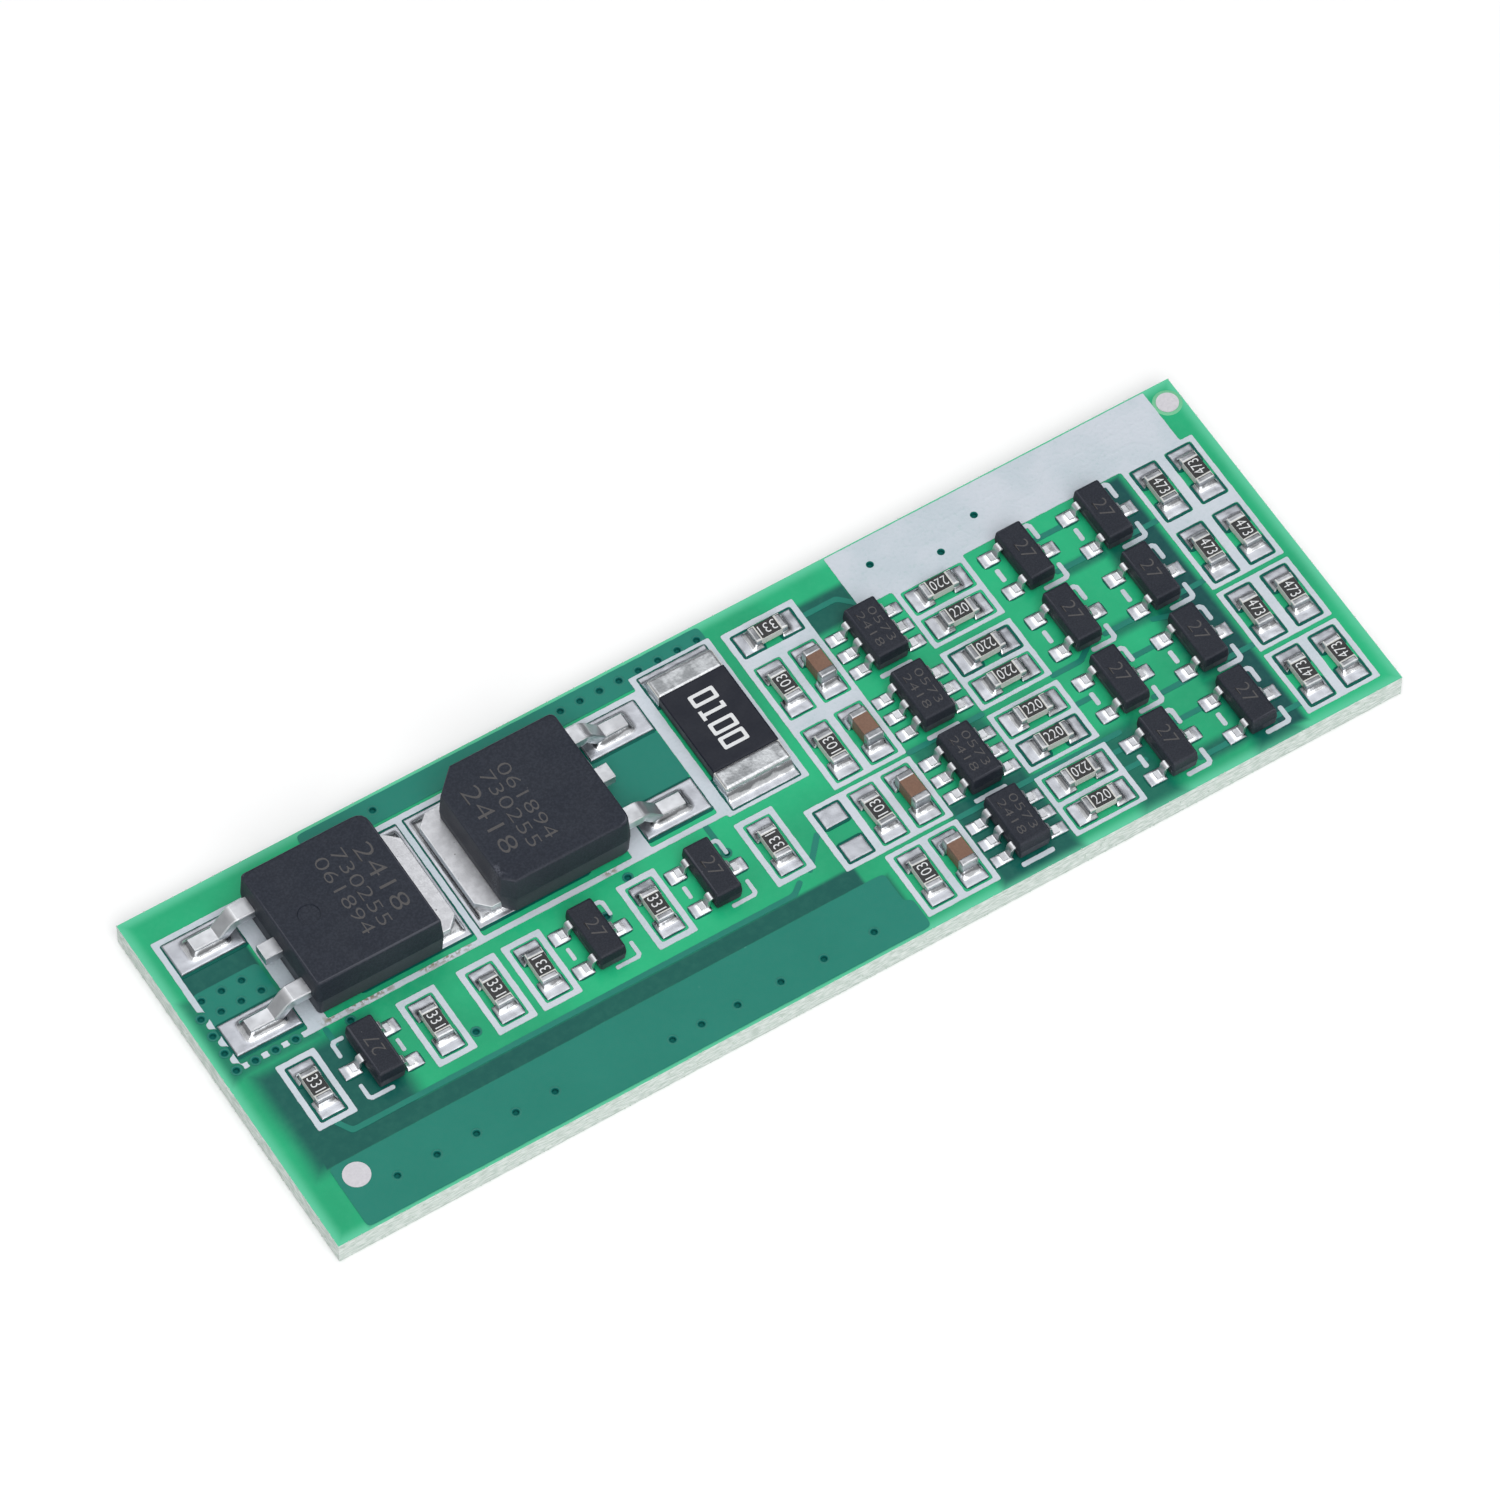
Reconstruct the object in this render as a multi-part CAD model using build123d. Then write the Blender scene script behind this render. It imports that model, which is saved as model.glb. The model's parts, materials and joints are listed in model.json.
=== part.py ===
from build123d import *
import os

# Battery management board for a pack of four cells in series: a printed circuit board with two
# power transistors back to back, a current shunt, four protection circuits, their transistors,
# chip resistors and capacitors, all soldered to pads on one side.
# Millimetres. The origin is the middle of the underside, +X runs along the board towards the
# rows of small parts, +Y towards its back edge, and +Z out of the side that carries the parts.
# Places are counted from the board's front left corner, and the board is as long and as wide as
# its columns and rows of parts need: 52 by 18.

# Board
board_thickness = 1.2
left_margin = 0.7          # board end to the frame round the power transistors
right_margin = 0.7         # last resistor frame to the other end
front_margin = 0.47        # front edge to the frame of the first row
back_margin = 0.85         # shunt frame to the back edge
via_diameter = 0.3
via_sides = 8              # these small holes are drawn with flats
via_edge = 0.7             # back edge to the vias along it
via_pitch = 0.96
via_back_count = 8
via_back_reach = 5.2       # first of them, left of the shunt's middle
via_side_count = 4         # up the left line of the power frame
via_front_count = 3        # along its front line
via_front_inset = 0.4
via_drain_inset = 0.85     # the block of vias between the left transistor's lead pads
via_drain_shift = 0.45
via_drain_pitch = 0.85
via_clearance = 0.34       # bare board round a via that breaks a printed line

# Vias in the front copper, from the front left corner, and single ones
pour_via_x = 3.75
pour_via_y = 1.6
pour_via_pitch = 1.88
pour_via_count = 5
far_via_x = 16.65
far_via_y = 1.15
far_via_steps = [0, 1.4, 3.15, 5.25, 7.35, 9.8]
single_vias = [(5.9, 8.95), (17.45, 7.65), (23.3, 7.65), (19.2, 8.8), (10.0, 5.75), (11.9, 17.25)]
field_via_steps = [(0.0, 0.65), (2.9, -0.4), (5.1, 0.45)]

# Printed frames
print_thickness = 0.02
print_line = 0.3
shunt_line = 0.2           # across the ends of the shunt's frame
print_mark = 0.22          # the thinner marks beside the small parts
mark_gap = 0.72            # from a transistor's middle line to the upright marks beside it
mark_hook = 0.6
mark_bar = 0.36            # half the short mark between its two leads
ic_mark_drop = 0.2         # front end of a protection circuit to the mark before it
frame_split = 0.16         # bare board between the frames of two rows

# Pads and solder
pad_thickness = 0.05
pad_gap = 0.1              # pad to the frame round it
power_pad_gap = 0.05
solder_cover = 0.7         # share of a bare pad that its solder covers
solder_hollow = 0.3        # 0.5 would be a flat slope
fiducial_diameter = 1.2
fiducial_x = 2.35          # from the front left corner
fiducial_y = 2.5
small_fiducial_diameter = 1.0
small_fiducial_end = 0.7   # from the back right corner
small_fiducial_back = 1.05

# Chip resistors and capacitors
chip_length = 1.6
chip_width = 0.8
chip_terminal = 0.32
chip_step = 0.02           # terminals stand this proud of the ceramic
resistor_height = 0.45
capacitor_height = 0.8
capacitor_edge = 0.06
chip_pad_reach = 0.6       # pad past the end of its chip
chip_pad_side = 0.15       # pad past the side of its chip

# Leads of the small moulded parts
lead_width = 0.4
lead_thickness = 0.14
lead_pitch = 0.95
lead_shoulder = 0.14       # flat stretch outside the moulding
lead_slope = 0.08
lead_buried = 0.15
lead_pad_reach = 0.4       # pad past the lead's toe
lead_pad_side = 0.14
mould_standoff = 0.07
mould_draft = 6            # degrees

# Small transistors
transistor_length = 2.9
transistor_width = 1.3
transistor_span = 2.4      # toe to toe
transistor_height = 1.05

# Protection circuits
ic_length = 2.9
ic_width = 1.6
ic_span = 2.8
ic_height = 1.15
ic_pad_side = 0.08

# Power transistors
power_length = 6.1         # moulding, along the leads
power_width = 6.5
power_height = 2.3
power_front = 0.22         # moulding to the frame before it
power_back = -0.07         # and behind it, where the moulding hangs over the line
power_draft = 4
power_lead_length = 2.85
power_lead_width = 0.8
power_lead_thickness = 0.5
power_lead_pitch = 4.57    # between the two outer leads
power_lead_exit = 1.05     # height of the leads' middle where they leave
power_lead_shoulder = 0.7
power_lead_slope = 0.55
power_lead_bend = 0.4
power_lead_buried = 0.9
power_stub = 0.8           # the middle lead, cut short
power_pad_reach = 0.95
power_pad_side = 0.45
tab_width = 5.45
tab_reach = 1.1            # out of the moulding
tab_length = 5.0
tab_corner = 0.55
tab_pad_reach = 0.25
tab_pad_side = 0.375
mould_corner_round = 0.7   # left transistor, at its tab
mould_corner_cut = 1.1     # right transistor, back corner at its tab
mould_corner_small_cut = 0.45
ejector_radius = 0.5
ejector_depth = 0.06
ejector_offset = 1.5       # from the middle, towards the leads

# Current shunt
shunt_length = 6.4
shunt_width = 3.2
shunt_height = 0.65
shunt_terminal = 1.05
shunt_wrap = 0.06
shunt_coat = 0.05
shunt_pad_reach = 0.6
shunt_pad_side = 0.05

# Gaps between columns and rows
power_gap = 0.57           # control row frames to the power frame
shunt_gap = 0.4
control_margin = 5.05      # front edge to the control row frames
block_gap = 0.43           # shunt frame to the columns
chip_column_gap = 0.4
gate_column_gap = 0.5
ic_gap = 0.06
transistor_gap = 0.4       # printed frame to the transistors' pads
transistor_column_gap = 0.75
row_gap = 0.66
white_inset = 0.3          # printed field's end, right of the protection circuits' middle
white_edge = 0.05          # bare board beyond the printed field at the back edge
white_end = 0.6
spare_gap = 0.3            # control row to the empty footprint's frame

# Control row: each part with the bare board to its left, transistors turned end for end or not
control_row = [
    ("resistor", 2.07), ("turned transistor", 0.28), ("resistor", 0.35), ("resistor", 1.0),
    ("resistor", 0.27), ("transistor", 0.08), ("resistor", 0.4), ("transistor", 0.15),
    ("resistor", 0.52),
]
row_count = 4              # one row for each cell of the battery
spare_row = 1              # the row with an empty footprint, counted from the front

# Solder lands on the underside: distance from the left end, from the front edge, length, width
battery_lands = [
    (1.1, 9.95, 5.1, 4.25), (23.8, 9.6, 5.0, 4.6), (1.2, 1.1, 5.0, 4.9),
    (25.5, 2.0, 3.0, 3.0), (32.0, 2.0, 3.0, 3.0), (38.5, 2.0, 3.0, 3.0), (45.0, 1.4, 5.0, 5.0),
]

# Sizes that follow from those above
cell_length = chip_length + 2 * (chip_pad_reach + pad_gap)
cell_width = chip_width + 2 * (chip_pad_side + pad_gap)
transistor_reach = transistor_span / 2 + lead_pad_reach
ic_reach = ic_span / 2 + lead_pad_reach
power_span = power_lead_length + power_length + tab_reach
shunt_pad_width = shunt_width + 2 * shunt_pad_side
row_depth = max(cell_length, 2 * cell_width + print_line, ic_length, transistor_length)
row_pitch = row_depth + row_gap
row_line = (row_gap - frame_split) / 2

# Columns of the power side, from the left end
left_toe_x = left_margin + print_line + power_pad_gap + power_pad_reach
left_tab_x = left_toe_x + power_span
right_tab_x = left_tab_x + 2 * (tab_pad_reach + power_pad_gap) + print_line
right_toe_x = right_tab_x + power_span
power_frame_end = right_toe_x + power_pad_reach + power_pad_gap + print_line
shunt_x = power_frame_end + print_line + power_pad_gap + shunt_pad_width / 2
shunt_frame_end = shunt_x + shunt_pad_width / 2 + power_pad_gap + print_line


def control_places():
    # Middle of each part of the control row, and where the row ends
    places, edge = [], 0
    for kind, gap in control_row:
        half = cell_width / 2 + print_line if kind == "resistor" else transistor_reach
        places.append((kind, edge + gap + half))
        edge += gap + 2 * half
    return places, edge


control_parts, control_end = control_places()

# Columns of the cell side
spare_width = cell_width + chip_column_gap
columns_start = max(shunt_frame_end + block_gap, control_end + spare_gap + spare_width)
supply_x = columns_start + print_line + cell_width / 2
filter_x = supply_x + cell_width + chip_column_gap
filter_frame_end = filter_x + cell_width / 2 + print_line
ic_x = filter_frame_end + ic_gap + ic_reach
threshold_start = ic_x + ic_reach + ic_gap
threshold_x = threshold_start + print_line + cell_length / 2
threshold_end = threshold_x + cell_length / 2 + print_line
transistor_x = [threshold_end + transistor_gap + transistor_reach]
transistor_x.append(transistor_x[0] + 2 * transistor_reach + transistor_column_gap)
gate_start = transistor_x[-1] + transistor_reach + transistor_gap
gate_x = [gate_start + print_line + cell_width / 2]
gate_x.append(gate_x[0] + cell_width + gate_column_gap)
gate_end = gate_x[-1] + cell_width / 2 + print_line
board_length = gate_end + right_margin

# Rows, from the front edge
row_y = [front_margin + print_line + row_depth / 2 + i * row_pitch for i in range(row_count)]
rows_back = row_y[-1] + cell_length / 2 + print_line
bias_x = (supply_x + filter_x) / 2
bias_y = rows_back + print_line + cell_width / 2
bias_back = bias_y + cell_width / 2 + print_line
control_y = control_margin + print_line + cell_length / 2
control_back = control_y + cell_length / 2 + print_line
power_window_front = control_back + power_gap + print_line
power_y = power_window_front + power_front + power_width / 2
power_window_back = power_y + power_width / 2 + power_back
shunt_y = control_back + shunt_gap + shunt_line + power_pad_gap + shunt_pad_reach + shunt_length / 2
shunt_frame_half = shunt_length / 2 + shunt_pad_reach + power_pad_gap + shunt_line
board_width = max(power_window_back + print_line, shunt_y + shunt_frame_half, bias_back) + back_margin

fiducials = [(fiducial_x, fiducial_y, fiducial_diameter),
             (board_length - small_fiducial_end, board_width - small_fiducial_back,
              small_fiducial_diameter)]


def on_board(x, y, turn=0, height=0):
    # Place of a part: its own X and Y turned about Z, at a height above the board's upper face
    return Pos(x - board_length / 2, y - board_width / 2, board_thickness + height) * Rot(0, 0, turn)


def rectangle(x0, y0, x1, y1):
    return Pos((x0 + x1) / 2, (y0 + y1) / 2) * Rectangle(x1 - x0, y1 - y0)


def around(x, y, half_x, half_y):
    return rectangle(x - half_x, y - half_y, x + half_x, y + half_y)


# Where every part sits: its node, the middle, and its turn in degrees
resistors, capacitors, transistors, protection_ics = [], [], [], []
for row, y in enumerate(row_y):
    resistors.append((f"supply_resistor_{row + 1}", supply_x, y, 90))
    capacitors.append((f"filter_capacitor_{row + 1}", filter_x, y, 90))
    protection_ics.append((f"protection_ic_{row + 1}", ic_x, y, 0))
    for side in (0, 1):
        number = 2 * row + side + 1
        threshold_y = y + (side - 0.5) * (cell_width + print_line)
        resistors.append((f"threshold_resistor_{number}", threshold_x, threshold_y, 0))
        transistors.append((f"balance_transistor_{number}", transistor_x[side], y, 0))
        resistors.append((f"gate_resistor_{number}", gate_x[side], y, 90))
resistors.append(("bias_resistor", bias_x, bias_y, 0))
for kind, x in control_parts:
    if kind == "resistor":
        count = sum(name.startswith("control_resistor") for name, *place in resistors)
        resistors.append((f"control_resistor_{count + 1}", x, control_y, 90))
    else:
        count = sum(name.startswith("control_transistor") for name, *place in transistors)
        turn = 180 if kind.startswith("turned") else 0
        transistors.append((f"control_transistor_{count + 1}", x, control_y, turn))
power_transistors = [("left", left_toe_x + power_lead_length + power_length / 2, power_y, 0),
                     ("right", right_toe_x - power_lead_length - power_length / 2, power_y, 180)]


def via_places():
    # Plated holes between the copper of the two faces: the plain ones, those that break the
    # printed lines of the power frame, and those of the printed field
    pour = [(pour_via_x + pour_via_pitch * i, pour_via_y) for i in range(pour_via_count)]
    far = [(far_via_x + step, far_via_y) for step in far_via_steps]
    back = [(shunt_x - via_back_reach + via_pitch * i, board_width - via_edge)
            for i in range(via_back_count)]
    drain = [(left_toe_x - via_drain_inset + via_pitch * column + via_drain_shift * row,
              power_y - via_drain_pitch * row) for column in range(3) for row in (0, 1)]
    front_line = power_window_front - print_line / 2
    side = [(left_margin, front_line + via_pitch * i) for i in range(via_side_count)]
    front = [(left_toe_x - via_front_inset + via_pitch * i, front_line) for i in range(via_front_count)]
    field = [(threshold_start + x, bias_y + y) for x, y in field_via_steps]
    return pour + far + back + drain + single_vias, side + front, field


def vias(places):
    return [Pos(x, y) * RegularPolygon(via_diameter / 2, via_sides) for x, y in places]


def circuit_board():
    # Glass laminate, drilled at the vias and recessed for the lands on its underside
    outline = rectangle(0, 0, board_length, board_width) - vias(sum(via_places(), []))
    board = on_board(0, 0, height=-board_thickness) * extrude(outline, board_thickness)
    return board - terminal_pads()


def terminal_pads():
    # Solder lands of the underside, flush with it, for the strips and wires of the pack
    lands = [rectangle(x, y, x + length, y + width) for x, y, length, width in battery_lands]
    outline = Sketch() + lands - vias(sum(via_places(), []))
    return on_board(0, 0, height=-board_thickness) * extrude(outline, pad_thickness)


def chip_ends(pad_length, reach):
    # Middles of the two pads of a chip that is `reach` long each way with its pads
    return [(-reach + pad_length / 2, 0), (reach - pad_length / 2, 0)]


def lead_places(kind):
    # Leads of a small moulded part: +1 or -1 for its side, and the place along the moulding
    if kind == "ic":
        return [(side, step * lead_pitch) for side in (-1, 1) for step in (-1, 0, 1)]
    return [(-1, -lead_pitch), (-1, lead_pitch), (1, 0)]


def pad_rectangles():
    # Every pad of the upper face, as a flat outline in the board's own corner frame
    pads = []

    def add(x, y, turn, middle_x, middle_y, length, width):
        pads.append(Pos(x, y) * Rot(0, 0, turn) * Pos(middle_x, middle_y) * Rectangle(length, width))

    chip_pad = chip_terminal + chip_pad_reach
    chip_half = chip_length / 2 + chip_pad_reach
    spare = [("spare", supply_x - spare_width, row_y[spare_row], 90)]
    for name, x, y, turn in resistors + capacitors + spare:
        for middle_x, middle_y in chip_ends(chip_pad, chip_half):
            add(x, y, turn, middle_x, middle_y, chip_pad, chip_width + 2 * chip_pad_side)
    for kind, places, span, width, side_reach in (
            ("transistor", transistors, transistor_span, transistor_width, lead_pad_side),
            ("ic", protection_ics, ic_span, ic_width, ic_pad_side)):
        inner = width / 2 + lead_shoulder
        outer = span / 2 + lead_pad_reach
        for name, x, y, turn in places:
            for side, along in lead_places(kind):
                add(x, y, turn, side * (inner + outer) / 2, along,
                    outer - inner, lead_width + 2 * side_reach)
    lead_pad = power_lead_length - power_lead_shoulder + power_pad_reach
    tab_pad = tab_length + tab_pad_reach
    for name, x, y, turn in power_transistors:
        for side in (-1, 1):
            add(x, y, turn, -power_length / 2 - power_lead_length - power_pad_reach + lead_pad / 2,
                side * power_lead_pitch / 2, lead_pad, power_lead_width + 2 * power_pad_side)
        add(x, y, turn, power_length / 2 + tab_reach + tab_pad_reach - tab_pad / 2, 0,
            tab_pad, tab_width + 2 * tab_pad_side)
    shunt_pad = shunt_terminal + shunt_pad_reach
    for middle_x, middle_y in chip_ends(shunt_pad, shunt_length / 2 + shunt_pad_reach):
        add(shunt_x, shunt_y, 90, middle_x, middle_y, shunt_pad, shunt_pad_width)
    return pads


def solder_pads():
    return [on_board(0, 0) * extrude(outline, pad_thickness) for outline in pad_rectangles()]


def fiducial_marks():
    return [on_board(x, y) * extrude(Circle(diameter / 2), pad_thickness) for x, y, diameter in fiducials]


def solder_fillet(width, run, height):
    # Hollow slope of solder from a pad up the end of a part, running out along +X
    hollow = (run * solder_hollow, height * solder_hollow)
    profile = make_face(Polyline((0, height), (0, 0), (run, 0), hollow, close=True))
    return extrude(Plane.XZ * profile, width / 2, both=True)


def solder_joints():
    joints = []

    def add(x, y, turn, end, along, width, run, height):
        # One joint at each end that faces +X or -X: end is the signed place of that end
        facing = 0 if end > 0 else 180
        joints.append(on_board(x, y, turn, pad_thickness) * Pos(end, along) * Rot(0, 0, facing)
                      * solder_fillet(width, run, height))

    chip_run = chip_pad_reach * solder_cover
    for places, height in ((resistors, resistor_height), (capacitors, capacitor_height)):
        for name, x, y, turn in places:
            for end in (-chip_length / 2, chip_length / 2):
                add(x, y, turn, end, 0, chip_width, chip_run, height * solder_cover)
    for kind, places, span in (("transistor", transistors, transistor_span),
                               ("ic", protection_ics, ic_span)):
        for name, x, y, turn in places:
            for side, along in lead_places(kind):
                add(x, y, turn, side * span / 2, along, lead_width,
                    lead_pad_reach * solder_cover, lead_thickness)
    for name, x, y, turn in power_transistors:
        for side in (-1, 1):
            add(x, y, turn, -power_length / 2 - power_lead_length, side * power_lead_pitch / 2,
                power_lead_width, power_pad_reach * solder_cover, power_lead_thickness * solder_cover)
        add(x, y, turn, power_length / 2 + tab_reach, 0, tab_width - 2 * tab_corner,
            tab_pad_reach * solder_cover, power_lead_thickness * solder_cover)
    for end in (-shunt_length / 2, shunt_length / 2):
        add(shunt_x, shunt_y, 90, end, 0, shunt_width, shunt_pad_reach * solder_cover,
            shunt_height * solder_cover)
    return joints


def chip_resistor():
    # Ceramic chip along X: two wrapped terminals, and the coated film between them
    end, inner, top = chip_length / 2, chip_length / 2 - chip_terminal, resistor_height
    coat = inner - chip_step
    half = [(0, top), (coat, top), (coat, top - chip_step), (inner, top - chip_step), (inner, top),
            (end, top), (end, 0)]
    outline = half + [(-x, z) for x, z in reversed(half[1:])]
    return extrude(Plane.XZ * make_face(Polyline(*outline, close=True)), chip_width / 2, both=True)


def chip_capacitor():
    # Ceramic block along X, its rounded terminals a little larger than the block
    inner = chip_length - 2 * chip_terminal
    block = Box(inner, chip_width - 2 * chip_step, capacitor_height - 2 * chip_step)
    cap = Box(chip_terminal, chip_width, capacitor_height)
    cap = chamfer(cap.edges().filter_by(Axis.X), capacitor_edge)
    shift = (chip_length - chip_terminal) / 2
    return Pos(0, 0, capacitor_height / 2) * (block + Pos(-shift) * cap + Pos(shift) * cap)


def moulding(outline, bottom, parting, top, draft):
    # Moulded body, widest at its parting line, with draft above and below it
    upper = extrude(outline, top - parting, taper=draft)
    lower = mirror(extrude(outline, parting - bottom, taper=draft), Plane.XY)
    return Pos(0, 0, parting) * (upper + lower)


def bent_lead(start, knee, heel, toe, exit_height, thickness, width, bend=0):
    # Gull-wing lead along +X: out of the body, down, and out along its pad
    points = [(start, exit_height), (knee, exit_height), (heel, thickness / 2), (toe, thickness / 2)]
    path = FilletPolyline(*points, radius=bend) if bend else Polyline(*points)
    return extrude(Plane.XZ * trace(path, thickness), width / 2, both=True)


def small_package(kind, length, width, span, height):
    # Moulded transistor or circuit with its formed leads
    parting = (mould_standoff + height) / 2
    body = moulding(Rectangle(width, length), mould_standoff, parting, height, mould_draft)
    knee = width / 2 + lead_shoulder
    lead = bent_lead(width / 2 - lead_buried, knee, knee + lead_slope, span / 2, parting,
                     lead_thickness, lead_width)
    for side, along in lead_places(kind):
        body += Pos(0, along) * Rot(0, 0, 0 if side > 0 else 180) * lead
    return body


def power_leads():
    # Lead frame of a power transistor, leads towards -X: the outer leads, and the tab whose
    # middle lead is cut short. Each is a solid of its own, held only by the moulding.
    face = -power_length / 2
    outer = bent_lead(-face - power_lead_buried, -face + power_lead_shoulder,
                      -face + power_lead_shoulder + power_lead_slope, -face + power_lead_length,
                      power_lead_exit, power_lead_thickness, power_lead_width, power_lead_bend)
    outer = Rot(0, 0, 180) * outer
    tab_end = power_length / 2 + tab_reach
    plate = rectangle(tab_end - tab_length, -tab_width / 2, tab_end, tab_width / 2)
    plate = chamfer(plate.vertices().group_by(Axis.X)[-1], tab_corner)
    tab = extrude(plate, power_lead_thickness)
    stub_top = power_lead_exit + power_lead_thickness / 2
    stub_inner = tab_end - tab_length + power_lead_thickness
    middle = make_face(Polyline(
        (face - power_stub, stub_top), (stub_inner, stub_top), (stub_inner, 0),
        (stub_inner - power_lead_thickness, 0),
        (stub_inner - power_lead_thickness, stub_top - power_lead_thickness),
        (face - power_stub, stub_top - power_lead_thickness), close=True))
    tab += extrude(Plane.XZ * middle, power_lead_width / 2, both=True)
    return [tab] + [Pos(0, side * power_lead_pitch / 2) * outer for side in (-1, 1)]


def power_body(side):
    # Moulding round the lead frame. The corners at the tab differ between the two makes
    outline = Rectangle(power_length, power_width)
    corners = outline.vertices().group_by(Axis.X)[-1].sort_by(Axis.Y)
    if side == "left":
        outline = fillet(corners, mould_corner_round)
    else:
        outline = chamfer(corners[0], mould_corner_cut)
        far = outline.vertices().group_by(Axis.X)[-1].sort_by(Axis.Y)[-1]
        outline = chamfer(far, mould_corner_small_cut)
    body = moulding(outline, 0, power_lead_exit, power_height, power_draft)
    dimple = Pos(-ejector_offset, 0, power_height - ejector_depth) * Cylinder(
        ejector_radius, ejector_depth, align=(Align.CENTER, Align.CENTER, Align.MIN))
    body -= dimple
    for lead in power_leads():
        body -= lead
    return body


def shunt_parts():
    # Large chip along X: a coated ceramic block and two wrapped terminals
    end, inner = shunt_length / 2, shunt_length / 2 - shunt_terminal
    block = Pos(0, 0, shunt_height / 2) * Box(shunt_length - 2 * shunt_wrap, shunt_width,
                                              shunt_height - 2 * shunt_wrap)
    coat = Pos(0, 0, shunt_height - shunt_wrap) * Box(
        2 * inner, shunt_width, shunt_coat + shunt_wrap, align=(Align.CENTER, Align.CENTER, Align.MIN))
    wrap = make_face(Polyline(
        (inner, 0), (end, 0), (end, shunt_height), (inner, shunt_height),
        (inner, shunt_height - shunt_wrap), (end - shunt_wrap, shunt_height - shunt_wrap),
        (end - shunt_wrap, shunt_wrap), (inner, shunt_wrap), close=True))
    terminal = extrude(Plane.XZ * wrap, shunt_width / 2, both=True)
    return block + coat, [terminal, Rot(0, 0, 180) * terminal]


def cell_frame(x, y, half_x, half_y, line_y=print_line):
    # Printed box: its outline and its window
    return around(x, y, half_x + print_line, half_y + line_y), around(x, y, half_x, half_y)


def legend_outline():
    # White print of the upper face, flat: boxes round the parts, marks beside them, and a field
    solid, windows = [], []

    def box(x, y, half_x, half_y, line_y=print_line):
        outer, window = cell_frame(x, y, half_x, half_y, line_y)
        solid.append(outer)
        windows.append(window)

    for name, x, y, turn in resistors + capacitors:
        across = turn == 90
        half_x, half_y = (cell_width / 2, cell_length / 2) if across else (cell_length / 2, cell_width / 2)
        in_row = not name.startswith(("control", "bias"))
        box(x, y, half_x, half_y, row_line if in_row else print_line)
    box(supply_x - spare_width, row_y[spare_row], cell_width / 2, cell_length / 2, row_line)
    for y in row_y[-2:]:
        # The two rows at the back share one frame
        solid.append(rectangle(columns_start, y, filter_frame_end, rows_back))
        solid.append(rectangle(gate_start, y, gate_end, rows_back))
    solid.append(rectangle(columns_start, rows_back, filter_frame_end, rows_back + print_line))

    # Power transistors: one frame, the bar between the tabs, and the fields under the leads
    inner_half = (power_window_back - power_window_front) / 2
    frame_y = (power_window_back + power_window_front) / 2
    left_end, right_end = left_margin + print_line, power_frame_end - print_line
    middle = (left_tab_x + right_tab_x) / 2
    box((left_end + right_end) / 2, frame_y, (right_end - left_end) / 2, inner_half)
    bars = [around(middle, frame_y, print_line / 2, inner_half)]
    for name, x, y, turn in power_transistors:
        lead_side = -1 if turn == 0 else 1
        body_face = x + lead_side * power_length / 2
        pad_end = body_face + lead_side * (power_lead_shoulder - power_pad_gap)
        ends = sorted((body_face - lead_side * print_line, pad_end))
        bars.append(rectangle(ends[0], power_window_front, ends[1], power_window_back))
    box(shunt_x, shunt_y, shunt_pad_width / 2 + power_pad_gap,
        shunt_length / 2 + shunt_pad_reach + power_pad_gap, shunt_line)

    # Marks beside the small moulded parts: two hooked lines and a short bar at a transistor
    bar_x, foot = transistor_span / 2, (transistor_length + print_mark) / 2
    for name, x, y, turn in transistors:
        out = 1 if turn == 0 else -1
        line_x = x + out * bar_x
        for end in (-1, 1):
            middle_y = y + end * (mark_gap + foot) / 2
            bars.append(around(line_x, middle_y, print_mark / 2, (foot - mark_gap) / 2))
        hook = min(mark_hook, bar_x)
        bars.append(around(line_x - out * hook / 2, y + foot, hook / 2, print_mark / 2))
        bars.append(around(x + out * bar_x / 2, y - foot, bar_x / 2, print_mark / 2))
        bars.append(around(x - out * bar_x, y, print_mark / 2, mark_bar))
    for name, x, y, turn in protection_ics:
        bars.append(around(x, y - ic_length / 2 - ic_mark_drop, ic_width / 2, print_mark / 2))

    # The field at the back edge, and its own vias
    field_front = row_y[-1] + cell_width + print_line / 2 + row_line
    field = rectangle(ic_x + white_inset, field_front, gate_end - white_end, board_width - white_edge)
    plain, line_vias, field_vias = via_places()
    breaks = [Pos(x, y) * RegularPolygon(via_clearance, via_sides) for x, y in line_vias]
    legend = Sketch() + solid - windows + bars + [field]
    return legend - vias(field_vias) - breaks


def legend_print():
    return on_board(0, 0) * extrude(legend_outline(), print_thickness)


def write(name, pieces):
    solids = [solid for piece in pieces for solid in piece.solids()]
    shape = solids[0] if len(solids) == 1 else Compound(children=solids)
    export_step(shape, f"parts/{name}.step")


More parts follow.
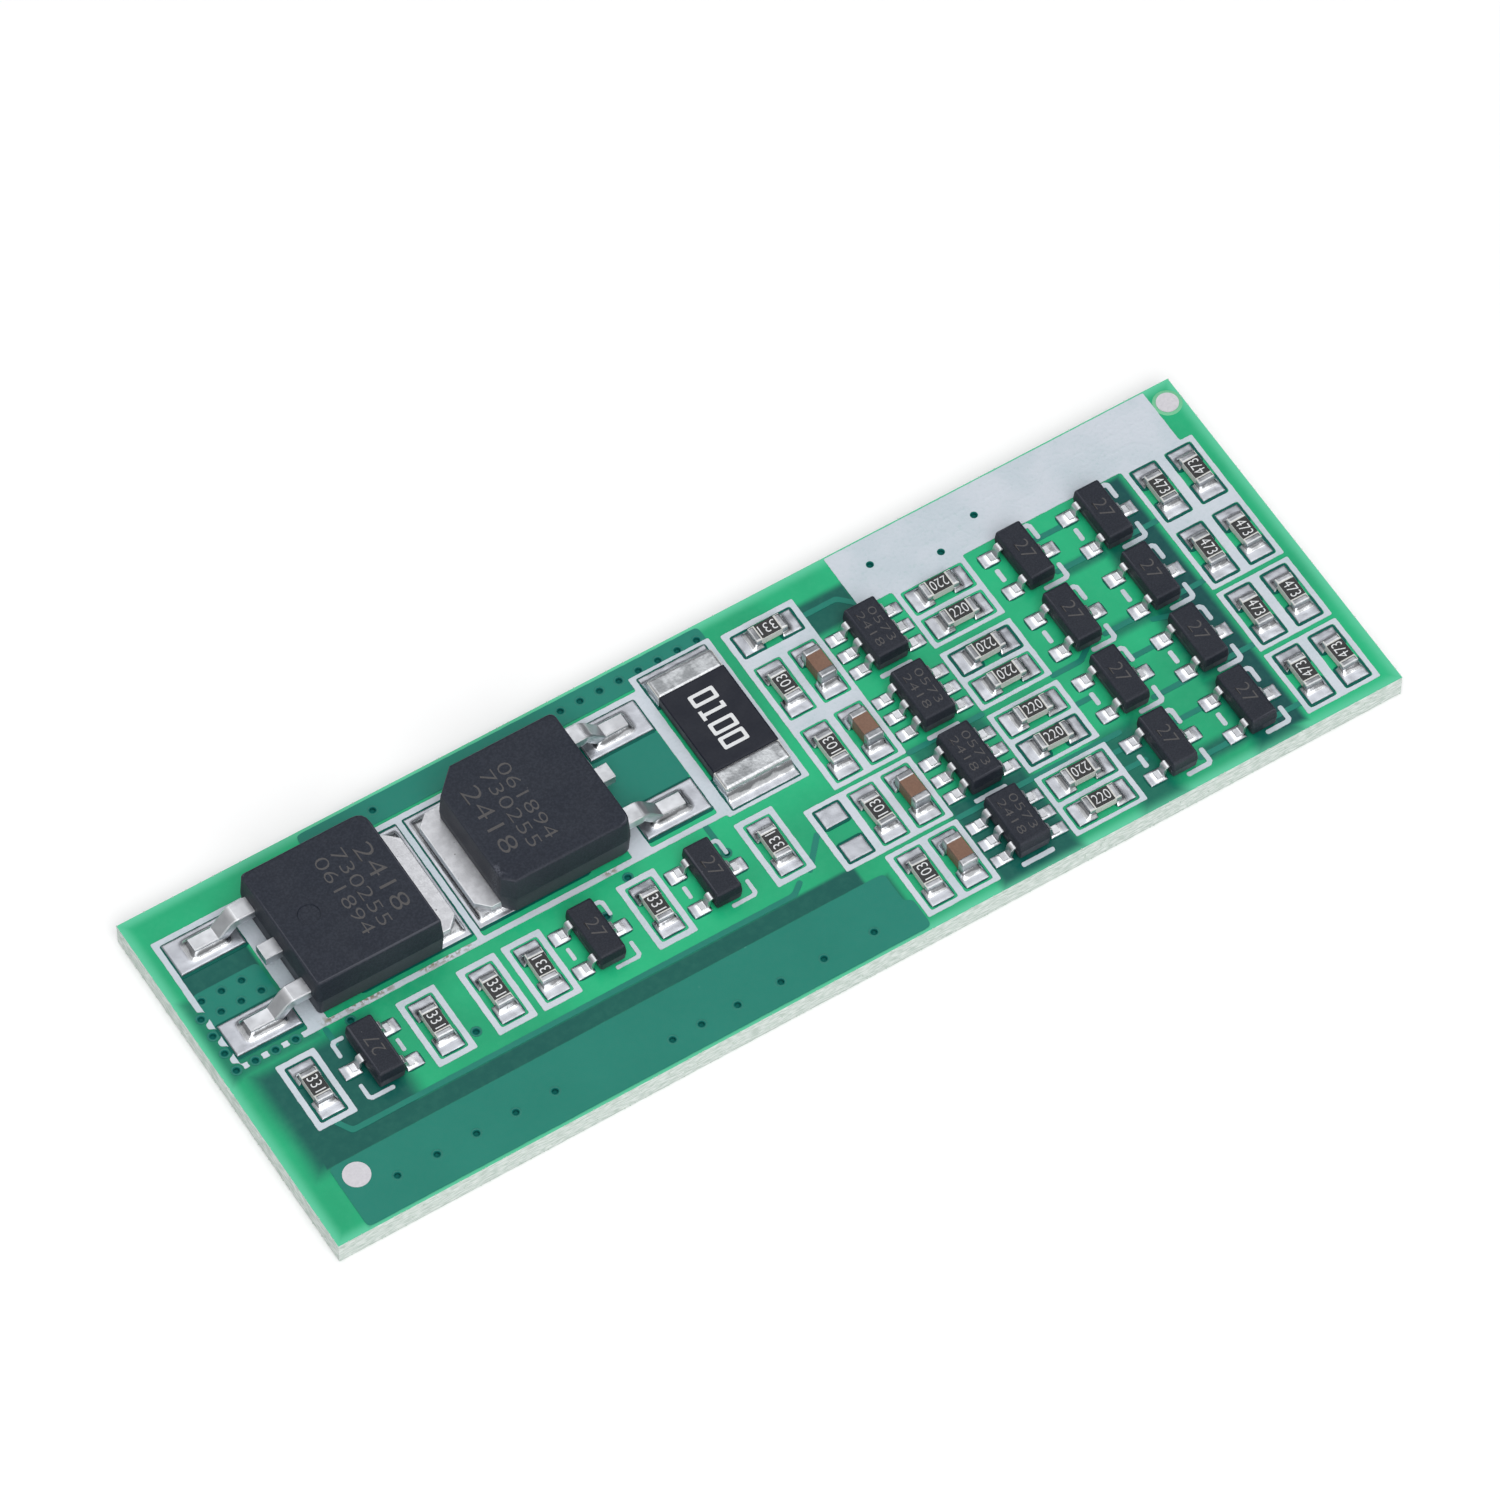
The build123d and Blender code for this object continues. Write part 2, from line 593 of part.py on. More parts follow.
def main():
    os.makedirs("parts", exist_ok=True)
    write("circuit_board", [circuit_board()])
    write("terminal_pads", [terminal_pads()])
    write("solder_pads", solder_pads())
    write("fiducial_marks", fiducial_marks())
    write("legend_print", [legend_print()])
    write("solder_joints", solder_joints())

    resistor, capacitor = chip_resistor(), chip_capacitor()
    transistor = small_package("transistor", transistor_length, transistor_width,
                               transistor_span, transistor_height)
    ic = small_package("ic", ic_length, ic_width, ic_span, ic_height)
    for shape, places in ((resistor, resistors), (capacitor, capacitors),
                          (transistor, transistors), (ic, protection_ics)):
        for name, x, y, turn in places:
            write(name, [on_board(x, y, turn, pad_thickness) * shape])
    for side, x, y, turn in power_transistors:
        place = on_board(x, y, turn, pad_thickness)
        write(f"power_transistor_{side}_body", [place * power_body(side)])
        write(f"power_transistor_{side}_leads", [place * lead for lead in power_leads()])
    body, terminals = shunt_parts()
    place = on_board(shunt_x, shunt_y, 90, pad_thickness)
    write("shunt_resistor_body", [place * body])
    write("shunt_resistor_terminals", [place * terminal for terminal in terminals])
    print(f"board {board_length:.3f} x {board_width:.3f} x {board_thickness}")


main()
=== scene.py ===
import bpy
import bmesh
import json
import math
import random
from mathutils import Matrix, Vector, noise

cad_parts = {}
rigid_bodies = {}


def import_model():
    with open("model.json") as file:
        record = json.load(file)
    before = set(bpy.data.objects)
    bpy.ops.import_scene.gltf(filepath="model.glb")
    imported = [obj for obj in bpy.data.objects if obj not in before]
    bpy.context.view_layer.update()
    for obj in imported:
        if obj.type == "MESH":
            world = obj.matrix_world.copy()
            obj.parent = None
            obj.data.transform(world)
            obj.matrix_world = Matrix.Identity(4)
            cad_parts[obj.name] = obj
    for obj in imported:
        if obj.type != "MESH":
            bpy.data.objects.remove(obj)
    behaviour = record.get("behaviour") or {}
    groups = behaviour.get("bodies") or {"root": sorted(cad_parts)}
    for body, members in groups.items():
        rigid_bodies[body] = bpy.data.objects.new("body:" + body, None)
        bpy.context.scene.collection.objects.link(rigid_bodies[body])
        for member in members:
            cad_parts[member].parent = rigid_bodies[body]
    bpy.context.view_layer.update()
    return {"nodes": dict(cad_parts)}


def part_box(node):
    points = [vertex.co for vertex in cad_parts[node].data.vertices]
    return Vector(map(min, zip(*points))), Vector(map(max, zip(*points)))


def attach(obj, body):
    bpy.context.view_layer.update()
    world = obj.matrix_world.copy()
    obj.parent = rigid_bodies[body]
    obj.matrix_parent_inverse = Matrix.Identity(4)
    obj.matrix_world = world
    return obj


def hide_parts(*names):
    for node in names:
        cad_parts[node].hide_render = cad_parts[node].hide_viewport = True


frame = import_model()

# Dressing of the battery management board: solder mask, copper, print, solder, chips, mouldings.
# Lengths here are millimetres, in the same frame as the CAD parts; meshes are written in metres.
mm = 0.001


def nodeBox(name):
    low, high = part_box(name)
    return low / mm, high / mm


def namesWith(*starts):
    return sorted(name for name in frame["nodes"] if name.startswith(starts))


boardLow, boardHigh = nodeBox("circuit_board")
boardTop = boardHigh.z
padTop = nodeBox("solder_pads")[1].z
print("frame loaded, nodes:", len(frame["nodes"]))


# Camera at the photo's place, in metres; its lens and sensor are in millimetres
view = {
    "place": (-0.119687, -0.190971, 0.357595),
    "forward": (0.28487651, 0.4572314, -0.84248728),
    "up": (0.44624262, 0.71459958, 0.53871603),
    "lens": 242.65,
    "sensor": 36.0,
    "near": 0.02,
    "far": 5.0,
}


def makeCamera():
    data = bpy.data.cameras.new("photoCamera")
    data.lens, data.sensor_width = view["lens"], view["sensor"]
    data.clip_start, data.clip_end = view["near"], view["far"]
    camera = bpy.data.objects.new("photoCamera", data)
    bpy.context.scene.collection.objects.link(camera)
    back = -Vector(view["forward"]).normalized()
    up = Vector(view["up"]).normalized()
    right = up.cross(back).normalized()
    turn = Matrix((right, back.cross(right), back)).transposed().to_4x4()
    camera.matrix_world = Matrix.Translation(view["place"]) @ turn
    bpy.context.scene.camera = camera


studio = {
    "bright": (1.0, 1.0, 1.0),
    "dim": (0.20, 0.21, 0.23),
    "worldStrength": 0.54,
    "leftShare": -0.35, "frontShare": -0.45, "upShare": 0.85,    # how brightness follows a direction
    "dimAt": 0.0, "brightAt": 0.62,
    "keyPlace": (-0.12, -0.42, 0.58), "keySize": 0.6, "keyPower": 2.95,
    "topPlace": (0.10, 0.16, 0.75), "topSize": 0.8, "topPower": 1.9,
    "floorHalf": 1.6, "floorDrop": 0.00002,
}


def areaLight(name, place, size, power):
    data = bpy.data.lights.new(name, "AREA")
    data.shape, data.size, data.energy = "DISK", size, power
    light = bpy.data.objects.new(name, data)
    bpy.context.scene.collection.objects.link(light)
    light.location = place
    light.rotation_mode = "QUATERNION"
    light.rotation_quaternion = (-Vector(place)).to_track_quat("-Z", "Y")


def makeStudio():
    world = bpy.data.worlds.new("studioRoom")
    bpy.context.scene.world = world
    world.use_nodes = True
    nodes, links = world.node_tree.nodes, world.node_tree.links
    direction = nodes.new("ShaderNodeTexCoord")
    split = nodes.new("ShaderNodeSeparateXYZ")
    links.new(direction.outputs["Object"], split.inputs[0])
    level = 0.0
    for axis, share in (("X", "leftShare"), ("Y", "frontShare"), ("Z", "upShare")):
        part = mathNode(world.node_tree, "MULTIPLY", split.outputs[axis], studio[share])
        level = mathNode(world.node_tree, "ADD", part, level)
    lit = rangeNode(world.node_tree, level, studio["dimAt"], studio["brightAt"])
    colour = mixTones(world.node_tree, lit, (*studio["dim"], 1.0), (*studio["bright"], 1.0))
    room = nodes["Background"]
    room.inputs["Strength"].default_value = studio["worldStrength"]
    links.new(colour, room.inputs["Color"])
    areaLight("keyLight", studio["keyPlace"], studio["keySize"], studio["keyPower"])
    areaLight("topLight", studio["topPlace"], studio["topSize"], studio["topPower"])
    bpy.context.scene.view_settings.view_transform = "Standard"


# Node helpers for materials

def tone(red, green, blue):
    # A colour as a picture editor shows it, 0 to 255, made linear
    def linear(value):
        value /= 255
        return value / 12.92 if value <= 0.04045 else ((value + 0.055) / 1.055) ** 2.4
    return (linear(red), linear(green), linear(blue), 1.0)


def newGroup(name, inputs, outputs):
    group = bpy.data.node_groups.new(name, "ShaderNodeTree")
    for label, kind in inputs:
        group.interface.new_socket(label, in_out="INPUT", socket_type=kind)
    for label, kind in outputs:
        group.interface.new_socket(label, in_out="OUTPUT", socket_type=kind)
    return group, group.nodes.new("NodeGroupInput"), group.nodes.new("NodeGroupOutput")


def feed(tree, socket, value):
    # A number or a colour is set on the socket; another node's output is linked to it
    if isinstance(value, (int, float, tuple)):
        socket.default_value = value
    else:
        tree.links.new(value, socket)


def mathNode(tree, operation, first, second=None, clamp=False):
    made = tree.nodes.new("ShaderNodeMath")
    made.operation, made.use_clamp = operation, clamp
    for socket, value in zip(made.inputs, (first, second)):
        if value is not None:
            feed(tree, socket, value)
    return made.outputs[0]


def rangeNode(tree, value, low, high, toLow=0.0, toHigh=1.0):
    made = tree.nodes.new("ShaderNodeMapRange")
    made.interpolation_type = "SMOOTHSTEP"
    for label, given in (("Value", value), ("From Min", low), ("From Max", high),
                         ("To Min", toLow), ("To Max", toHigh)):
        feed(tree, made.inputs[label], given)
    return made.outputs["Result"]


def mixTones(tree, mask, low, high):
    made = tree.nodes.new("ShaderNodeMix")
    made.data_type = "RGBA"
    for index, value in ((0, mask), (6, low), (7, high)):    # the factor and the two colours
        feed(tree, made.inputs[index], value)
    return made.outputs[2]


def tint(tree, colour, mask, share, wanted):
    # The wanted colour where the mask is white, at a share of its strength
    return mixTones(tree, mathNode(tree, "MULTIPLY", mask, share), colour, wanted)


def levelness(tree):
    # 1 on level faces, 0 on upright ones
    geometry = tree.nodes.new("ShaderNodeNewGeometry")
    split = tree.nodes.new("ShaderNodeSeparateXYZ")
    tree.links.new(geometry.outputs["True Normal"], split.inputs[0])
    return mathNode(tree, "ABSOLUTE", split.outputs["Z"])


def makeSoftBox():
    # White inside a rectangle of the board's plane, with a soft border
    group, given, result = newGroup(
        "softBox",
        [("Vector", "NodeSocketVector")] + [(label, "NodeSocketFloat") for label in
                                            ("Middle X", "Middle Y", "Half X", "Half Y", "Soft")],
        [("Mask", "NodeSocketFloat")])
    split = group.nodes.new("ShaderNodeSeparateXYZ")
    group.links.new(given.outputs["Vector"], split.inputs[0])
    outside = []
    for axis in ("X", "Y"):
        offset = mathNode(group, "SUBTRACT", split.outputs[axis], given.outputs["Middle " + axis])
        offset = mathNode(group, "ABSOLUTE", offset)
        outside.append(mathNode(group, "SUBTRACT", offset, given.outputs["Half " + axis]))
    furthest = mathNode(group, "MAXIMUM", *outside)
    inner = mathNode(group, "MULTIPLY", given.outputs["Soft"], -1.0)
    mask = rangeNode(group, furthest, inner, given.outputs["Soft"], 1.0, 0.0)
    group.links.new(mask, result.inputs["Mask"])
    return group


def makeGrain():
    # Fine and broad unevenness of a surface
    group, given, result = newGroup(
        "grainField", [("Vector", "NodeSocketVector"), ("Scale", "NodeSocketFloat"),
                       ("Broad share", "NodeSocketFloat")],
        [("Fine", "NodeSocketFloat"), ("Broad", "NodeSocketFloat")])
    broadScale = mathNode(group, "MULTIPLY", given.outputs["Scale"], given.outputs["Broad share"])
    for label, scale in (("Fine", given.outputs["Scale"]), ("Broad", broadScale)):
        cloud = group.nodes.new("ShaderNodeTexNoise")
        cloud.inputs["Detail"].default_value = 3.0
        group.links.new(given.outputs["Vector"], cloud.inputs["Vector"])
        group.links.new(scale, cloud.inputs["Scale"])
        group.links.new(cloud.outputs[0], result.inputs[label])
    return group


def makeSpecks():
    # Small dots strewn over a surface: pits, dust, flux
    group, given, result = newGroup(
        "specks", [("Vector", "NodeSocketVector"), ("Scale", "NodeSocketFloat"),
                   ("Size", "NodeSocketFloat"), ("Share", "NodeSocketFloat")],
        [("Mask", "NodeSocketFloat")])
    cells = group.nodes.new("ShaderNodeTexVoronoi")
    group.links.new(given.outputs["Vector"], cells.inputs["Vector"])
    group.links.new(given.outputs["Scale"], cells.inputs["Scale"])
    dot = rangeNode(group, cells.outputs["Distance"], 0.0, given.outputs["Size"], 1.0, 0.0)
    chance = group.nodes.new("ShaderNodeSeparateColor")
    group.links.new(cells.outputs["Color"], chance.inputs[0])
    chosen = mathNode(group, "LESS_THAN", chance.outputs[0], given.outputs["Share"])
    group.links.new(mathNode(group, "MULTIPLY", dot, chosen), result.inputs["Mask"])
    return group


def makeEdgeRubAndSheen():
    # Convex edges, lighter from rubbing and from a painted edge highlight; never on level faces
    group, given, result = newGroup(
        "edgeRubAndSheen", [("Low", "NodeSocketFloat"), ("High", "NodeSocketFloat")],
        [("Mask", "NodeSocketFloat")])
    shape = group.nodes.new("ShaderNodeNewGeometry")
    mask = rangeNode(group, shape.outputs["Pointiness"], given.outputs["Low"], given.outputs["High"])
    bent = mathNode(group, "LESS_THAN", levelness(group), 0.995)
    group.links.new(mathNode(group, "MULTIPLY", mask, bent), result.inputs["Mask"])
    return group


softBox, grainField, specks, edgeRubAndSheen = makeSoftBox(), makeGrain(), makeSpecks(), makeEdgeRubAndSheen()


def useGroup(tree, group, **values):
    # Keyword names stand for the group's inputs, with _ for a space
    made = tree.nodes.new("ShaderNodeGroup")
    made.node_tree = group
    for label, value in values.items():
        feed(tree, made.inputs[label.replace("_", " ")], value)
    return made.outputs


def perMm(size):
    # Scale of a pattern whose features are about this many millimetres across
    return 1.0 / (size * mm)


def grainOf(tree, place, size, broadShare):
    return useGroup(tree, grainField, Vector=place, Scale=perMm(size), Broad_share=broadShare)


def speckMask(tree, place, pitch, size, share):
    return useGroup(tree, specks, Vector=place, Scale=perMm(pitch), Size=size, Share=share)["Mask"]


def areaMask(tree, place, area, soft):
    # area: left, front, right and back end, in millimetres
    left, front, right, back = area
    return useGroup(tree, softBox, Vector=place,
                    Middle_X=(left + right) / 2 * mm, Middle_Y=(front + back) / 2 * mm,
                    Half_X=(right - left) / 2 * mm, Half_Y=(back - front) / 2 * mm, Soft=soft * mm)["Mask"]


def startMaterial(name, **sockets):
    material = bpy.data.materials.new(name)
    material.use_nodes = True
    tree = material.node_tree
    shader = tree.nodes["Principled BSDF"]
    for label, value in sockets.items():
        shader.inputs[label.replace("_", " ")].default_value = value
    place = tree.nodes.new("ShaderNodeTexCoord").outputs["Object"]
    return material, tree, shader, place


def addBump(tree, shader, height, distance):
    bump = tree.nodes.new("ShaderNodeBump")
    bump.inputs["Distance"].default_value = distance
    tree.links.new(height, bump.inputs["Height"])
    tree.links.new(bump.outputs["Normal"], shader.inputs["Normal"])


grainSpan = (0.3, 0.7)    # where most values of a grain lie


def addSkin(tree, shader, grain, colour, rough, bump, follows="Fine"):
    # Colour, a roughness that wanders between two values, and fine relief in millimetres
    tree.links.new(colour, shader.inputs["Base Color"])
    tree.links.new(rangeNode(tree, grain[follows], *grainSpan, *rough), shader.inputs["Roughness"])
    addBump(tree, shader, grain["Fine"], bump * mm)


# Solder mask and laminate. Shades of the underside's copper show through as soft dark areas:
# left, front, right and back end of each, how soft its border is, and its strength
boardLook = {
    "bareGreen": tone(34, 178, 123), "deepGreen": tone(28, 154, 108), "mottle": tone(150, 220, 190),
    "throughCopper": tone(6, 74, 74), "undersideCopper": tone(24, 108, 84),
    "laminate": tone(220, 227, 223), "laminateDark": tone(184, 198, 190),
    "edgeMint": tone(96, 200, 160), "mintMargin": 0.28, "mintSoft": 0.3, "mintLeast": 0.55, "mintWander": 0.6,
    "grain": 0.35, "plies": 0.45, "plyStretch": 5.0,
    "rough": (0.30, 0.42), "sawnRougher": 0.45,
    "relief": 0.06, "maskShare": 0.02,    # height of the sawn plies, and the mask's share of it
    "shades": [
        (-25.0, -5.7, -19.4, -0.2, 0.55, 0.92), (-24.6, -5.7, 1.4, -4.7, 0.12, 0.92),
        (-25.2, 4.2, -21.9, 5.4, 0.1, 0.92), (-25.7, -0.1, -21.4, 4.3, 0.3, 0.6),
        (6.2, 5.75, 8.6, 7.5, 0.2, 0.9), (6.2, -8.9, 10.1, -4.2, 0.35, 0.9),
        (13.2, -8.9, 15.2, -4.7, 0.5, 0.8), (20.2, -8.6, 21.45, 5.9, 0.2, 1.0),
        (18.9, -4.6, 21.0, -0.7, 0.4, 0.85), (18.9, 1.9, 21.0, 3.1, 0.35, 0.8),
        (18.9, -8.9, 21.0, -4.9, 0.5, 0.85), (16.8, 2.7, 19.0, 3.3, 0.2, 0.7),
        (16.8, -1.0, 19.0, -0.35, 0.25, 0.7), (16.8, -8.2, 19.0, -7.4, 0.25, 0.8),
        (6.4, -2.0, 10.0, -1.1, 0.3, 0.7), (-24.4, -8.8, 2.4, -5.8, 0.2, 0.9),
    ],
}


def makeBoardMaterial():
    look = boardLook
    material, tree, shader, place = startMaterial("greenBoard", Specular_IOR_Level=0.18)
    grain = grainOf(tree, place, look["grain"], 0.05)
    patchy = rangeNode(tree, grain["Broad"], 0.3, 0.72)
    colour = mixTones(tree, patchy, look["bareGreen"], look["deepGreen"])
    # Paler along the edges, where light comes through the laminate
    halfX, halfY = boardHigh.x - look["mintMargin"], boardHigh.y - look["mintMargin"]
    inside = areaMask(tree, place, (-halfX, -halfY, halfX, halfY), look["mintSoft"])
    margin = mathNode(tree, "SUBTRACT", 1.0, inside)
    wander = mathNode(tree, "MULTIPLY", grain["Broad"], look["mintWander"])
    wander = mathNode(tree, "ADD", wander, look["mintLeast"])
    mint = mathNode(tree, "MULTIPLY", wander, margin, clamp=True)
    colour = mixTones(tree, mint, colour, look["edgeMint"])
    shade = 0.0
    for *area, soft, strength in look["shades"]:
        dark = mathNode(tree, "MULTIPLY", areaMask(tree, place, area, soft), strength)
        shade = mathNode(tree, "MAXIMUM", shade, dark)
    colour = mixTones(tree, shade, colour, look["throughCopper"])
    split = tree.nodes.new("ShaderNodeSeparateXYZ")
    tree.links.new(place, split.inputs[0])
    upper = mathNode(tree, "GREATER_THAN", split.outputs["Z"], boardTop / 2 * mm)
    colour = mixTones(tree, upper, look["undersideCopper"], colour)
    mottle = rangeNode(tree, grain["Fine"], 0.35, 0.75, 0.0, 0.03)
    colour = mixTones(tree, mottle, colour, look["mottle"])
    # Sawn sides: plies of glass and resin
    sawn = mathNode(tree, "LESS_THAN", levelness(tree), 0.5)
    stretch = tree.nodes.new("ShaderNodeMapping")
    stretch.inputs["Scale"].default_value = (1.0, 1.0, look["plyStretch"])
    tree.links.new(place, stretch.inputs["Vector"])
    plies = grainOf(tree, stretch.outputs["Vector"], look["plies"], 0.3)
    fibre = rangeNode(tree, plies["Fine"], 0.35, 0.65)
    side = mixTones(tree, fibre, look["laminateDark"], look["laminate"])
    tree.links.new(mixTones(tree, sawn, colour, side), shader.inputs["Base Color"])
    rough = rangeNode(tree, grain["Fine"], *grainSpan, *look["rough"])
    rough = mathNode(tree, "ADD", rough, mathNode(tree, "MULTIPLY", sawn, look["sawnRougher"]))
    tree.links.new(rough, shader.inputs["Roughness"])
    height = mathNode(tree, "MULTIPLY", grain["Fine"], look["maskShare"])
    height = mathNode(tree, "ADD", height, mathNode(tree, "MULTIPLY", sawn, plies["Fine"]))
    addBump(tree, shader, height, look["relief"] * mm)
    return material


# Copper under the mask: a deeper teal, a little uneven
copperLook = {
    "dark": tone(22, 118, 102), "light": tone(32, 127, 111), "rough": (0.28, 0.40), "bump": 0.003,
    "dust": tone(96, 160, 146), "dustShare": 0.35,
}


def makeCopperMaterial():
    look = copperLook
    material, tree, shader, place = startMaterial("maskOverCopper", Specular_IOR_Level=0.2)
    grain = grainOf(tree, place, 0.25, 0.08)
    colour = mixTones(tree, grain["Broad"], look["dark"], look["light"])
    dust = speckMask(tree, place, 0.9, 0.10, 0.12)
    colour = tint(tree, colour, dust, look["dustShare"], look["dust"])
    addSkin(tree, shader, grain, colour, look["rough"], look["bump"])
    return material


# White print, a little thin in places, with clouds of painted sheen and flux stains in front of the power
# transistors
legendLook = {
    "print": tone(188, 199, 207), "thin": tone(156, 186, 184), "dense": tone(204, 213, 221),
    "paintedSheen": tone(216, 217, 226), "paintedSheenSize": 2.6, "paintedSheenShare": 0.35,
    "grain": 0.16, "rough": (0.45, 0.65), "bump": 0.02,
    "stain": tone(128, 120, 96), "stainSoft": 0.2,
    "stains": [(-21.2, 0.31, -14.0, 0.59), (-8.1, 0.31, -6.3, 0.59)],
}


def makeLegendMaterial():
    look = legendLook
    material, tree, shader, place = startMaterial("whitePrint", Specular_IOR_Level=0.25)
    grain = grainOf(tree, place, look["grain"], 0.12)
    thin = rangeNode(tree, grain["Fine"], 0.52, 0.75, 0.0, 0.35)
    colour = mixTones(tree, thin, look["print"], look["thin"])
    colour = tint(tree, colour, grain["Broad"], 0.25, look["dense"])
    # Painted sheen: pale bluish clouds laid over the print
    cloud = grainOf(tree, place, look["paintedSheenSize"], 0.4)
    paintedSheen = rangeNode(tree, cloud["Fine"], 0.35, 0.65)
    colour = tint(tree, colour, paintedSheen, look["paintedSheenShare"], look["paintedSheen"])
    stain = 0.0
    for area in look["stains"]:
        stain = mathNode(tree, "MAXIMUM", stain, areaMask(tree, place, area, look["stainSoft"]))
    for uneven in (rangeNode(tree, grain["Broad"], 0.42, 0.62), rangeNode(tree, grain["Fine"], 0.42, 0.56)):
        stain = mathNode(tree, "MULTIPLY", stain, uneven)
    colour = mixTones(tree, stain, colour, look["stain"])
    addSkin(tree, shader, grain, colour, look["rough"], look["bump"])
    return material


def makeMetal(name, dark, light, rough, size, bump, pits=0.0):
    # Tin and plated ends: a bright metal with a cloudy, pitted skin
    material, tree, shader, place = startMaterial(name, Metallic=1.0)
    grain = grainOf(tree, place, size, 0.22)
    colour = mixTones(tree, rangeNode(tree, grain["Broad"], 0.32, 0.68), dark, light)
    if pits:
        colour = mixTones(tree, speckMask(tree, place, 0.26, 0.22, pits), colour, tone(84, 80, 78))
    # Convex edges lightened: rubbed metal and a painted edge glint
    rubAndSheen = useGroup(tree, edgeRubAndSheen, Low=0.51, High=0.58)["Mask"]
    colour = tint(tree, colour, rubAndSheen, 0.5, tone(244, 245, 248))
    addSkin(tree, shader, grain, colour, rough, bump)
    return material


# Solder: flat tin where a pad is bare; in the fillets, told by the mesh's own wetness, glossy, with a painted
# highlight and painted dark reflections
solderLook = {
    # The wet colour is the fillets' painted highlight; the dark streak colour is their painted reflection
    "dull": tone(176, 179, 186), "bright": tone(200, 203, 210), "wet": tone(240, 242, 245),
    "darkReflection": tone(58, 62, 68), "darkReflectionShare": 0.65, "grain": 0.34,
    "rough": (0.38, 0.50), "wetSmoother": 0.20, "bump": 0.012,
}


def makeSolder():
    look = solderLook
    material, tree, shader, place = startMaterial("wetSolder", Metallic=1.0)
    wet = tree.nodes.new("ShaderNodeAttribute")
    wet.attribute_name = "wetness"
    wet = wet.outputs["Fac"]
    grain = grainOf(tree, place, look["grain"], 0.5)
    colour = mixTones(tree, rangeNode(tree, grain["Broad"], 0.32, 0.68), look["dull"], look["bright"])
    # Painted highlight: where the wetness is high the fillets turn near white
    colour = mixTones(tree, rangeNode(tree, wet, 0.02, 0.2), colour, look["wet"])
    # Painted dark reflections: dark streaks where the fillets are wettest, broken up by the broad grain
    near = mathNode(tree, "ADD", wet, mathNode(tree, "MULTIPLY", grain["Broad"], 0.8))
    colour = tint(tree, colour, rangeNode(tree, near, 0.90, 1.05), look["darkReflectionShare"], look["darkReflection"])
    tree.links.new(colour, shader.inputs["Base Color"])
    rough = rangeNode(tree, grain["Fine"], *grainSpan, *look["rough"])
    gloss = rangeNode(tree, wet, 0.05, 0.3, 0.0, look["wetSmoother"])
    tree.links.new(mathNode(tree, "SUBTRACT", rough, gloss), shader.inputs["Roughness"])
    addBump(tree, shader, grain["Fine"], look["bump"] * mm)
    return material


def makeMoulding(name, face, rubbed, rough, size, bump, scuff=None):
    # Black moulded epoxy: matt, finely grained, greyer on rubbed edges, which also carry a painted highlight
    material, tree, shader, place = startMaterial(name, Specular_IOR_Level=0.28)
    grain = grainOf(tree, place, size, 0.06)
    colour = mixTones(tree, rangeNode(tree, grain["Fine"], 0.35, 0.7), face, rubbed)
    colour = tint(tree, colour, speckMask(tree, place, 0.55, 0.07, 0.10), 0.5, tone(120, 120, 124))
    # Convex edges greyer: rubbing and a painted edge highlight
    rubAndSheen = useGroup(tree, edgeRubAndSheen, Low=0.52, High=0.62)["Mask"]
    colour = tint(tree, colour, rubAndSheen, 0.35, tone(96, 98, 106))
    if scuff:
        patchy = rangeNode(tree, grain["Fine"], 0.42, 0.62)
        scraped = mathNode(tree, "MULTIPLY", areaMask(tree, place, scuff["area"], scuff["soft"]), patchy)
        colour = tint(tree, colour, scraped, scuff["share"], scuff["colour"])
    addSkin(tree, shader, grain, colour, rough, bump, "Broad")
    return material


def makeGlaze(name, dark, light, rough, size, bump, shine=0.4):
    # Ceramics, glass coats and inks
    material, tree, shader, place = startMaterial(name, Specular_IOR_Level=shine)
    grain = grainOf(tree, place, size, 0.15)
    addSkin(tree, shader, grain, mixTones(tree, grain["Fine"], dark, light), rough, bump, "Broad")
    return material


def makePlain(name, dark, light, rough, size, shine, follows="Fine"):
    # One even roughness and a faint cloud in the colour
    material, tree, shader, place = startMaterial(name, Roughness=rough, Specular_IOR_Level=shine)
    cloud = grainOf(tree, place, size, 0.1)[follows]
    tree.links.new(mixTones(tree, cloud, dark, light), shader.inputs["Base Color"])
    return material


